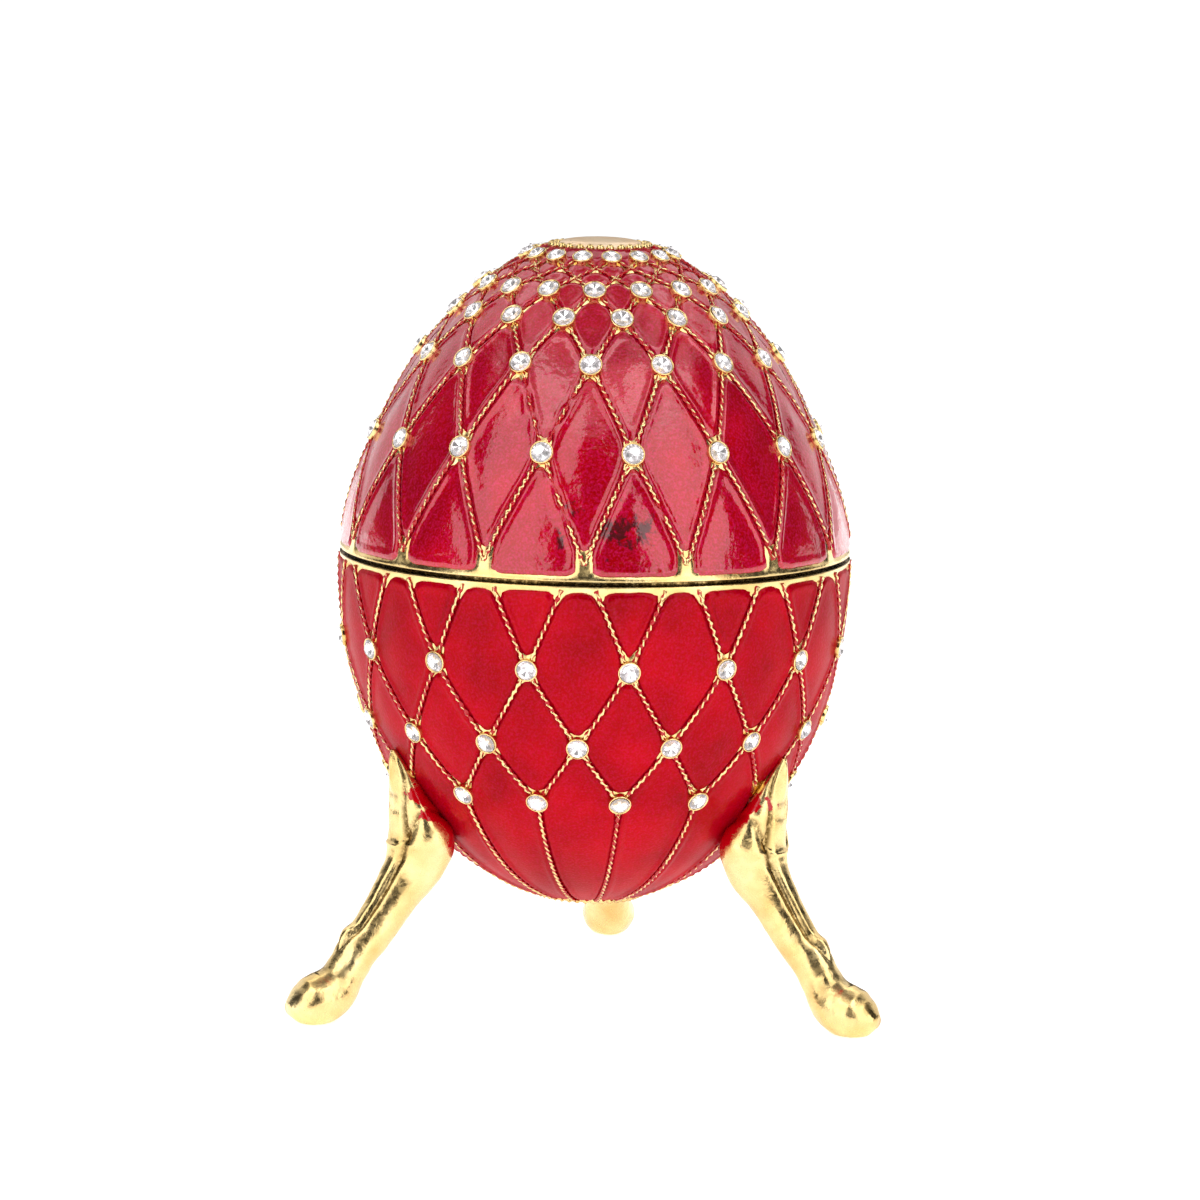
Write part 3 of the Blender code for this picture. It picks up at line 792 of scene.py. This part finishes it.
def rope(points, faces, heights, path, free_from, free_to, spin_start):
    """Sweeps a twisted pair of wires along a path, leaving its ends short of the collets."""
    steps = np.linalg.norm(np.diff(path, axis=0), axis=1)
    along = np.concatenate([[0], np.cumsum(steps)])
    start, end = free_from, along[-1] - free_to
    if end - start < SHORTEST_ROPE:
        return
    count = max(int((end - start) / ROPE_STEP), 3)
    where = np.linspace(start, end, count + 1)
    centre = settle(np.stack([np.interp(where, along, path[:, axis]) for axis in range(3)], 1))
    tangent = np.gradient(centre, axis=0)
    tangent /= np.linalg.norm(tangent, axis=1)[:, None]
    up = egg_normals(centre)
    across = np.cross(tangent, up)
    across /= np.linalg.norm(across, axis=1)[:, None]
    centre = centre + up * ROPE_LIFT
    turn = spin_start + where / ROPE_PITCH * math.pi
    sink = (1 - 0.8 * flooding(centre)) * (1 - 0.25 * smooth_step(22 * MM, 25 * MM, centre[:, 2]))
    first = sum(len(ring) for ring in points)
    sideways, upwards = [side * sink[:, None] for side in twisted(turn, ROPE_LONG, ROPE_SHORT, ROPE_SIDES)]
    ring = centre[:, None] + across[:, None] * sideways[..., None] + up[:, None] * upwards[..., None]
    points.append(ring.reshape(-1, 3))
    heights.append((upwards / ROPE_LONG - 1.2 * flooding(centre)[:, None]).reshape(-1))
    faces += tube(first, count, ROPE_SIDES)


def rope_set(name, runs):
    """Ropes along lattice edges; each run is (start, end, clear at start, clear at end)."""
    points, faces, heights = [], [], []
    for number, (start, end, clear_start, clear_end) in enumerate(runs):
        rope(points, faces, heights, edge_points(start, end), clear_start, clear_end, ROPE_TURN * number)
    piece = add_swept(name, np.concatenate(points), faces)
    note(piece.data, "crest", np.concatenate(heights))
    return piece


def add_swept(name, points, faces):
    """A piece from points in the egg's own frame."""
    return new_piece(name, (points + np.array(AXIS)).tolist(), faces)


def lid_runs():
    rows = lid_rows()
    clear = [COLLET_CLEAR if row in LID_SET_ROWS else 0.0 for row in range(len(rows))]
    runs = []
    for row in range(len(rows) - 1):
        for place, start in enumerate(rows[row]):
            left = place - 1 if row % 2 == 0 else place
            for side in (left, left + 1):
                azimuth, z = rows[row + 1][side % PANELS_ROUND]
                runs.append((start, (nearest(azimuth, start[0]), z), clear[row], clear[row + 1]))
    return runs + [(start, (start[0], CROWN_LEVEL), COLLET_OUTER, 0.0) for start in rows[-1]]


def base_runs():
    first, second, third = base_rows()
    half = BASE_RIM_GAP / 2 / WAIST
    runs = []

    def run(start, end, clear_end):
        runs.append((start, (nearest(end[0], start[0]), end[1]), COLLET_CLEAR, clear_end))

    for place in range(PANELS_ROUND):
        after = (place + 1) % PANELS_ROUND
        run(first[place], (second[place][0] + half, -RIM_BAND), 0.0)
        run(first[place], (second[after][0] - half, -RIM_BAND), 0.0)
        for side in (place - 1, place):
            run(second[place], first[side % PANELS_ROUND], COLLET_CLEAR)
            run(second[place], third[side % PANELS_ROUND], COLLET_CLEAR)
        run(third[place], (third[place][0], UNDERSIDE_LEVEL), 0.0)
    return runs


def ring_rope(name, radius, z, thick):
    """A twisted ring round the axis."""
    share = np.arange(RING_STEPS) / RING_STEPS
    out, up = twisted(math.pi * RING_TURNS * share, thick, thick * 0.55, RING_SIDES)
    azimuth = 2 * math.pi * share[:, None]
    points = np.stack([(radius + out) * np.sin(azimuth), -(radius + out) * np.cos(azimuth), z + up], 2)
    return add_swept(name, points.reshape(-1, 3), band(0, RING_STEPS, RING_SIDES, True))


# Legs

LEG_RINGS = 130
LEG_SIDES = 64

# Stations down a leg: distance out and drop as shares, then half depth and half width as shares
LEG_STATIONS = (
    (1.014, 0.000, 0.14, 0.15),
    (0.979, 0.083, 0.45, 0.85),
    (0.922, 0.214, 0.92, 1.60),
    (0.870, 0.335, 1.48, 2.00),
    (0.892, 0.432, 1.42, 1.55),
    (0.978, 0.538, 1.13, 1.10),
    (1.095, 0.672, 1.00, 1.00),
    (1.181, 0.750, 0.98, 1.00),
    (1.237, 0.818, 1.00, 1.02),
    (1.313, 0.893, 1.22, 1.30),
    (1.402, 0.926, 1.17, 1.38),
    (1.470, 0.937, 0.84, 1.05),
    (1.521, 0.941, 0.30, 0.40),
)


def leg_lines(shares):
    """A leg's line and its half depths and half widths at shares of its length."""
    table = np.array(LEG_STATIONS)
    place = shares * (len(table) - 1)
    number = np.minimum(place.astype(int), len(table) - 2)
    part = (place - number)[:, None]
    p, q, r, s = [table[np.clip(number + shift, 0, len(table) - 1)] for shift in (-1, 0, 1, 2)]
    values = 0.5 * (2 * q + (r - p) * part + (2 * p - 5 * q + 4 * r - s) * part ** 2
                    + (3 * q - p - 3 * r + s) * part ** 3)
    seat = float(base_radius(LEG_SEAT_DEPTH))
    drop = -GROUND - LEG_SEAT_DEPTH
    return np.stack([values[:, 0] * seat, -(LEG_SEAT_DEPTH + values[:, 1] * drop),
                     values[:, 2] * LEG_HALF_DEPTH, values[:, 3] * LEG_HALF_WIDTH], 1)


def bell(value, centre, width):
    return np.exp(-((value - centre) / width) ** 2)


def leg_piece(name, degrees, seed):
    """A cast leg: a folded leaf against the egg, a tongue down the shin and a club foot."""
    rings, sides = LEG_RINGS, LEG_SIDES
    shares = np.linspace(0, 1, rings + 1)
    line = leg_lines(shares)
    along = np.gradient(line[:, :2], axis=0)
    along /= np.linalg.norm(along, axis=1)[:, None]
    outwards = np.stack([-along[:, 1], along[:, 0]], 1)
    share, angle = np.meshgrid(shares, np.linspace(0, 2 * math.pi, sides, endpoint=False), indexing="ij")
    side, front = np.sin(angle), np.cos(angle)
    away, ahead = np.abs(side), np.clip(front, 0, 1)

    def rise(low, high):
        return smooth_step(low, high, share)

    # How far the surface stands off the plain section, in millimetres: the tongue and its grooves, the leaf's
    # rib, fold and bars, the knob, the ankle and the ball of the foot
    half = np.interp(share, [0.05, 0.09, 0.15, 0.25, 0.45, 0.55, 0.61], [0.88, 0.80, 0.42, 0.36, 0.36, 0.30, 0.04])
    tongue = smooth_step(half + 0.06, half - 0.06, away) * ahead ** 0.5
    groove = bell(away, half + 0.13, 0.085) * ahead ** 0.4
    relief = rise(0.63, 0.58) * (0.24 * rise(0.13, 0.17) * tongue - 0.38 * rise(0.03, 0.06) * groove)
    relief += 0.20 * rise(0.0, 0.04) * rise(0.14, 0.09) * bell(side, 0.0, 0.25) * ahead
    fold = np.interp(share, [0.17, 0.23], [0.95, 0.45])
    relief -= 0.34 * rise(0.16, 0.175) * rise(0.245, 0.225) * bell(away, fold, 0.09)
    relief += 0.16 * bell(share, 0.23, 0.045) * bell(away, 0.85, 0.25)
    bars = bell(share, 0.130, 0.007) + bell(share, 0.155, 0.007)
    relief -= 0.17 * bars * smooth_step(0.40, 0.25, away) * ahead
    relief += 0.30 * bell(share, 0.560, 0.024) * bell(side, 0.0, 0.45) * ahead
    relief -= 0.15 * bell(share, 0.700, 0.024) * ahead ** 0.5
    relief += 0.10 * bell(share, 0.860, 0.060) * ahead ** 0.5

    reach = line[:, 2:3] * front + relief * MM * front * rise(0.0, 0.03)
    width = line[:, 3:4] * side * (1 + 0.05 * relief) + relief * MM * side * 0.6
    radius = line[:, :1] + outwards[:, :1] * reach
    z = line[:, 1:2] + outwards[:, 1:] * reach
    points = np.stack([width, -radius, z], 2).reshape(-1, 3)
    lumps = 0.05 * MM * waves(points, 3.0 * MM, seed) + 0.025 * MM * waves(points, 1.2 * MM, seed + 1)
    middle = np.stack([np.zeros(rings + 1), -line[:, 0], line[:, 1]], 1).repeat(sides, axis=0)
    away = points - middle
    length = np.linalg.norm(away, axis=1)
    points += away / np.maximum(length, 0.1 * MM)[:, None] * np.minimum(lumps, length)[:, None]
    points[:, 2] = np.maximum(points[:, 2], GROUND)
    points = spin(points, math.radians(degrees))
    piece = add_swept(name, points, tube(0, rings, sides))
    off = np.hypot(points[:, 0], points[:, 1]) - egg_radius(points[:, 2])
    lap = smooth_step(4.0 * MM, 0.1 * MM, off) * (rise(0.38, 0.26) * rise(0.05, 0.17)).reshape(-1)
    note(piece.data, "hollow", np.clip(-relief * 4.0, 0, 1).reshape(-1))
    note(piece.data, "lap", lap)
    return piece


# Stage

SIGHT_ELEVATION = math.radians(8.15)
SIGHT_DISTANCE = 486.0 * MM
SIGHT_LENS = 145.8
SIGHT_ROLL = math.radians(1.01)
SIGHT_RIGHT = 0.59 * MM
SIGHT_UP = -5.02 * MM
SENSOR_WIDTH = 36.0
FLOOR_SIZE = 80.0
BOX_ELEVATION = math.radians(26)
BOX_DISTANCE = 0.55
BOX_HEIGHT = 0.77

# Each soft light's azimuth in degrees, width in metres and power in watts
SOFT_BOXES = {"left_box": (-42, 0.45, 1.95), "right_box": (43, 0.38, 1.85),
              "back_left_box": (-140, 0.40, 1.0), "back_right_box": (140, 0.40, 1.0)}

# The sky's brightness from the level to overhead
SKY = ((0.0, 0.03), (0.70, 0.03), (0.82, 1.0), (0.91, 0.85), (0.98, 0.20))


def aim(thing, place, target):
    thing.location = place
    thing.rotation_euler = (Vector(target) - Vector(place)).to_track_quat("-Z", "Y").to_euler()


def camera():
    bpy.ops.object.camera_add()
    made = bpy.context.object
    made.name = "photo_camera"
    c, s = math.cos(SIGHT_ELEVATION), math.sin(SIGHT_ELEVATION)
    back = Vector((0, -c, s))
    up = Vector((0, s, c))
    target = AXIS + Vector((1, 0, 0)) * SIGHT_RIGHT + up * SIGHT_UP
    aim(made, target + back * SIGHT_DISTANCE, target)
    made.rotation_euler = (made.rotation_euler.to_matrix() @ Matrix.Rotation(SIGHT_ROLL, 3, "Z")).to_euler()
    made.data.lens = SIGHT_LENS
    made.data.sensor_width = SENSOR_WIDTH
    made.data.clip_start = 0.01
    bpy.context.scene.camera = made


def soft_box(name, degrees, width, power):
    """A tall soft light, aimed at the egg's middle."""
    direction = Vector(ring_point(math.radians(degrees), 0.0, math.cos(BOX_ELEVATION)))
    direction += Vector((0, 0, math.sin(BOX_ELEVATION)))
    bpy.ops.object.light_add(type="AREA")
    made = bpy.context.object
    made.name = name
    made.data.shape = "RECTANGLE"
    made.data.size = width
    made.data.size_y = BOX_HEIGHT
    made.data.energy = power
    aim(made, AXIS + direction * BOX_DISTANCE, AXIS)


def backdrop():
    scene = bpy.context.scene
    scene.world = bpy.data.worlds.new("studio")
    scene.world.use_nodes = True
    tree = scene.world.node_tree
    place = add_node(tree, "ShaderNodeTexCoord").outputs["Generated"]
    height = add_node(tree, "ShaderNodeSeparateXYZ", Vector=place).outputs["Z"]
    # Plain and pale wherever the backdrop itself is in view
    in_view = add_node(tree, "ShaderNodeLightPath").outputs["Is Camera Ray"]
    background = tree.nodes["Background"]
    put(tree, background.inputs["Color"], mix_colours(tree, in_view, greys(tree, height, *SKY), (0.92,) * 3))
    put(tree, background.inputs["Strength"], 1.1)
    scene.view_settings.view_transform = "Standard"


def floor():
    bpy.ops.mesh.primitive_plane_add(size=FLOOR_SIZE, location=(0, 0, -0.2 * MM))
    made = bpy.context.object
    made.name = "floor"
    made.data.materials.append(shade(new_material("pale floor")[0], {
        "Base Color": (0.90,) * 3, "Roughness": 0.6, "Emission Color": (1.0,) * 3, "Emission Strength": 0.76}))


# Settings that a user would change

class EnamelSettings(bpy.types.PropertyGroup):
    lid_tone: bpy.props.FloatProperty(name="Lid tone", description="Brightness of the lid's red enamel",
                                      default=0.95, min=0.2, max=1.6)
    base_tone: bpy.props.FloatProperty(name="Base tone", description="Brightness of the base's red enamel",
                                       default=0.90, min=0.2, max=1.6)


class MetalSettings(bpy.types.PropertyGroup):
    roughness: bpy.props.FloatProperty(name="Gold roughness", description="How dull the gold plate is",
                                       default=0.17, min=0.02, max=0.8, subtype="FACTOR")


class CrystalSettings(bpy.types.PropertyGroup):
    girdle: bpy.props.FloatProperty(name="Crystal radius", description="Radius of each crystal at its girdle",
                                    default=1.10 * MM, min=0.5 * MM, max=1.10 * MM, unit="LENGTH")
    table: bpy.props.FloatProperty(name="Table radius", description="Radius of each crystal's flat top",
                                   default=0.60 * MM, min=0.2 * MM, max=1.0 * MM, unit="LENGTH")
    crown: bpy.props.FloatProperty(name="Crown height", description="Height of each crystal above its girdle",
                                   default=0.42 * MM, min=0.1 * MM, max=0.6 * MM, unit="LENGTH")


def casting(name, cells, profile, end, side, node, slot):
    """One half's gold casting, with painted shade in patches on its faces in the gap between the halves."""
    piece = sheet(name, cells, gold_height)
    close_shell(piece, profile, end, side)
    height = np.abs(places_of(piece.data)[:, 2] - AXIS.z)
    # Painted shade: marks the faces in the gap between the halves for darkening
    note(piece.data, "gap", smooth_step(0.31 * MM, 0.22 * MM, height))
    dress(piece, slot, [gold_material(name.replace("_", " "), 1.3, "gap")], node)


def sheet(name, cells, height):
    """The cells all round the egg as one skin, merged first and lifted after."""
    points, faces = [], []
    fields = {"inside": [], "covered": []}
    count = 0
    for cell in cells:
        for place in range(PANELS_ROUND):
            points.append(spin(cell.points, PANEL * place))
            for label, values in fields.items():
                values.append(getattr(cell, label))
            faces += cell.faces(count)
            count += len(cell.points)
    mesh = bpy.data.meshes.new(name)
    mesh.from_pydata(np.concatenate(points).tolist(), [], faces)
    for label, values in fields.items():
        note(mesh, label, np.concatenate(values))
    bm = bmesh.new()
    bm.from_mesh(mesh)
    bmesh.ops.remove_doubles(bm, verts=bm.verts, dist=0.002 * MM)
    bmesh.ops.recalc_face_normals(bm, faces=bm.faces)
    bm.to_mesh(mesh)
    bm.free()
    places = places_of(mesh).astype(float)
    depths = []
    for label in fields:
        depth = np.empty(len(mesh.vertices), np.float32)
        mesh.attributes[label].data.foreach_get("value", depth)
        depths.append(depth.astype(float))
        mesh.attributes.remove(mesh.attributes[label])
    places += egg_normals(places) * height(places, *depths)[:, None] + np.array(AXIS)
    mesh.vertices.foreach_set("co", places.reshape(-1))
    mesh.update()
    piece = bpy.data.objects.new(name, mesh)
    bpy.context.scene.collection.objects.link(piece)
    mesh.shade_smooth()
    return piece


class LidCastingOperator(bpy.types.Operator):
    """Make the lid's gold casting, with its rope beds, rim and inner wall"""
    bl_idname = "egg.lid_casting"
    bl_label = "Lid casting"

    def execute(self, context):
        inner = WAIST - WALL
        profile = rounded_rim(1, WAIST, inner)
        profile.append((inner, PARTING_GAP / 2 + LIP_HEIGHT + LIP_CLEARANCE))
        profile += inner_wall(inner, lid_height_at, 1)
        end = [(5.14 * MM, CROWN_LEVEL - 0.10 * MM), (5.04 * MM, CROWN_LEVEL - 0.60 * MM)]
        casting("lid_casting", lid_cells(CASTING_FINENESS), profile, end, 1, "lid_shell", "lid_plate")
        return {"FINISHED"}


class BaseCastingOperator(bpy.types.Operator):
    """Make the base's gold casting, with its lip, rope beds and inner wall"""
    bl_idname = "egg.base_casting"
    bl_label = "Base casting"

    def execute(self, context):
        gap = PARTING_GAP / 2
        outer = WAIST - WALL - LIP_CLEARANCE
        inner = outer - LIP_THICKNESS
        lip_top = LIP_HEIGHT - gap
        profile = rounded_rim(-1, WAIST, outer)[:4]
        profile += [(outer, -gap), (outer, lip_top - RIM_EDGE), (outer - RIM_EDGE, lip_top),
                    (inner + RIM_EDGE, lip_top), (inner, lip_top - RIM_EDGE), (inner, -gap - LIP_HEIGHT)]
        profile += inner_wall(inner, base_depth_at, -1)
        end = [(4.9 * MM, UNDERSIDE_LEVEL - 0.10 * MM), (4.6 * MM, UNDERSIDE_LEVEL),
               (4.5 * MM, UNDERSIDE_LEVEL + 0.20 * MM)]
        casting("base_casting", base_cells(CASTING_FINENESS), profile, end, -1, "base_shell", "base_plate")
        return {"FINISHED"}


class EnamelOperator(bpy.types.Operator):
    """Pour the red enamel into the panels of the lid and the base"""
    bl_idname = "egg.enamel"
    bl_label = "Enamel"

    def execute(self, context):
        tones = context.scene.egg_enamel
        for name, cells, slot, tone, grain, coat in (
                ("lid_enamel", lid_cells(1), "lid_plate", tones.lid_tone, 1.0, 1.0),
                ("base_enamel", base_cells(1), "base_plate", tones.base_tone, 0.35, 0.10)):
            piece = sheet(name, cells, enamel_height)
            dress(piece, slot, [enamel_material(name.replace("_", " "), tone, grain, coat)])
        return {"FINISHED"}


class RopeOperator(bpy.types.Operator):
    """Lay the twisted gold ropes along the lattice"""
    bl_idname = "egg.ropes"
    bl_label = "Gold ropes"

    def execute(self, context):
        finish = rope_material()
        for name, runs, slot in (("lid_ropes", lid_runs(), "lid_plate"), ("base_ropes", base_runs(), "base_plate")):
            dress(rope_set(name, runs), slot, [finish])
        foot = ring_rope("underside_rope", UNDERSIDE_RADIUS - 0.1 * MM, UNDERSIDE_LEVEL, 0.40 * MM)
        dress(foot, "base_plate", [gold_material("underside gold")])
        return {"FINISHED"}


# A collet's outline from its foot to its inner lip: radius and height in millimetres
COLLET = ((1.24, -0.40), (1.27, 0.05), (1.28, 0.36), (1.26, 0.45), (1.22, 0.49), (1.17, 0.48), (1.12, 0.44),
          (1.10, 0.30))
COLLET_SIDES = 20
CRYSTAL_SEED = 11
CRYSTAL_LEAN = 0.05


class CrystalOperator(bpy.types.Operator):
    """Set the cut crystals in their gold collets"""
    bl_idname = "egg.crystals"
    bl_label = "Crystals and collets"

    def execute(self, context):
        sizes = context.scene.egg_crystal
        found = seats()
        tilts = jitters(len(found), CRYSTAL_SEED, CRYSTAL_LEAN)
        cup, cup_faces = lathe(COLLET, COLLET_SIDES)
        stone, stone_faces, finishes = cut_crystal(sizes.girdle, sizes.table, sizes.crown)
        crystal = crystal_materials()
        gold = gold_material("collet gold")
        for half in ("lid", "base"):
            here = [(seat, tilt) for seat, tilt in zip(found, tilts) if seat[0] == half]
            frames = [seat_matrix(seat, (0.0, 0.0, tilt[2])) for seat, tilt in here]
            dress(scatter(half + "_collets", cup, cup_faces, frames), half + "_plate", [gold])
            for row in sorted({seat[1] for seat, _ in here}):
                frames = [seat_matrix(seat, tilt) for seat, tilt in here if seat[1] == row]
                piece = scatter(f"{half}_crystals_{row + 1}", stone, stone_faces, frames, False)
                nodes = []
                if half == "base":
                    word = ("first", "second", "third")[row]
                    nodes = [f"stone_{word}_{number + 1:02d}" for number in range(len(frames))]
                dress(piece, "crystal", crystal, *nodes)
                piece.data.polygons.foreach_set("material_index", finishes * len(frames))
        return {"FINISHED"}


# The crown's outlines: radius, and height above the rim that it sits on, in millimetres
DISC = ((4.32, -0.60), (4.26, -0.25), (4.16, 0.06), (4.02, 0.30), (3.82, 0.46), (3.5, 0.57), (3.0, 0.66),
        (2.4, 0.73), (1.6, 0.79), (0.8, 0.83), (0.02, 0.84))
CHANNEL = ((4.24, -0.60), (4.40, -0.32), (4.75, -0.22), (5.00, -0.16), (5.16, -0.08), (5.28, -0.03),
           (5.42, -0.06), (5.52, -0.20))
TURNED_SIDES = 96
BEAD_COUNT = 28
BEAD_RADIUS = 0.42 * MM
BEAD_RING_RADIUS = 4.78 * MM
BEAD_LEVEL = CROWN_LEVEL + 0.06 * MM
BEAD_SEED = 21
BEAD_STRAY = 0.03 * MM
BEAD_STRAY_ROUND = 0.012


class CrownOperator(bpy.types.Operator):
    """Top the lid with its gold disc, ring of beads and enamelled channel"""
    bl_idname = "egg.crown"
    bl_label = "Crown"

    def execute(self, context):
        crown = [Matrix.Translation(AXIS + Vector((0, 0, CROWN_LEVEL)))]
        dress(scatter("crown_disc", *lathe(DISC, TURNED_SIDES), crown), "lid_plate", [disc_material()])
        dress(scatter("crown_channel", *lathe(CHANNEL, TURNED_SIDES), crown), "lid_plate",
              [enamel_material("crown enamel", 0.9, 0.3, 0.6)])
        bpy.ops.mesh.primitive_ico_sphere_add(subdivisions=3, radius=BEAD_RADIUS)
        bead = bpy.context.object
        shape = np.array([tuple(vertex.co) for vertex in bead.data.vertices])
        faces = [tuple(face.vertices) for face in bead.data.polygons]
        bpy.data.objects.remove(bead)
        rng = np.random.default_rng(BEAD_SEED)
        places = []
        for number in range(BEAD_COUNT):
            azimuth = 2 * math.pi * number / BEAD_COUNT + rng.normal(0, BEAD_STRAY_ROUND)
            middle = ring_point(azimuth, BEAD_LEVEL, BEAD_RING_RADIUS + rng.normal(0, BEAD_STRAY))
            places.append(Matrix.Translation(AXIS + Vector(middle)) @ Matrix.Diagonal((1, 1, 0.9, 1)))
        dress(scatter("crown_beads", shape, faces, places), "lid_plate", [gold_material("bead gold")])
        return {"FINISHED"}


class LegOperator(bpy.types.Operator):
    """Cast the three legs"""
    bl_idname = "egg.legs"
    bl_label = "Legs"

    def execute(self, context):
        finish = gold_material("leg gold", 1.4, "hollow", "lap", 0.9)
        for number, (name, degrees) in enumerate(LEG_AZIMUTHS.items()):
            dress(leg_piece(name + "_cast", degrees, 40 + 3 * number), "leg_plate", [finish], name)
        return {"FINISHED"}


class StageOperator(bpy.types.Operator):
    """Set up the floor, lights and camera"""
    bl_idname = "egg.stage"
    bl_label = "Stage"

    def execute(self, context):
        floor()
        backdrop()
        camera()
        for name, values in SOFT_BOXES.items():
            soft_box(name, *values)
        return {"FINISHED"}


class EggPanel(bpy.types.Panel):
    """The egg's pieces and settings"""
    bl_idname = "EGG_PT_pieces"
    bl_label = "Jewelled egg"
    bl_space_type = "VIEW_3D"
    bl_region_type = "UI"
    bl_category = "Jewelled egg"

    def draw(self, context):
        for group in SETTINGS:
            values = getattr(context.scene, group)
            for name in values.__annotations__:
                self.layout.prop(values, name)
        for operator in OPERATORS:
            self.layout.operator(operator.bl_idname)


SETTINGS = {"egg_enamel": EnamelSettings, "egg_metal": MetalSettings, "egg_crystal": CrystalSettings}
OPERATORS = (LidCastingOperator, BaseCastingOperator, EnamelOperator, RopeOperator, CrystalOperator,
             CrownOperator, LegOperator, StageOperator)


def register():
    for group in (*SETTINGS.values(), *OPERATORS, EggPanel):
        bpy.utils.register_class(group)
    for name, group in SETTINGS.items():
        setattr(bpy.types.Scene, name, bpy.props.PointerProperty(type=group))


def unregister():
    for name in SETTINGS:
        delattr(bpy.types.Scene, name)
    for group in reversed((*SETTINGS.values(), *OPERATORS, EggPanel)):
        bpy.utils.unregister_class(group)


def main():
    register()
    deselect()
    for operator in OPERATORS:
        group, name = operator.bl_idname.split(".")
        getattr(getattr(bpy.ops, group), name)()
        deselect()


if __name__ == "__main__":
    main()
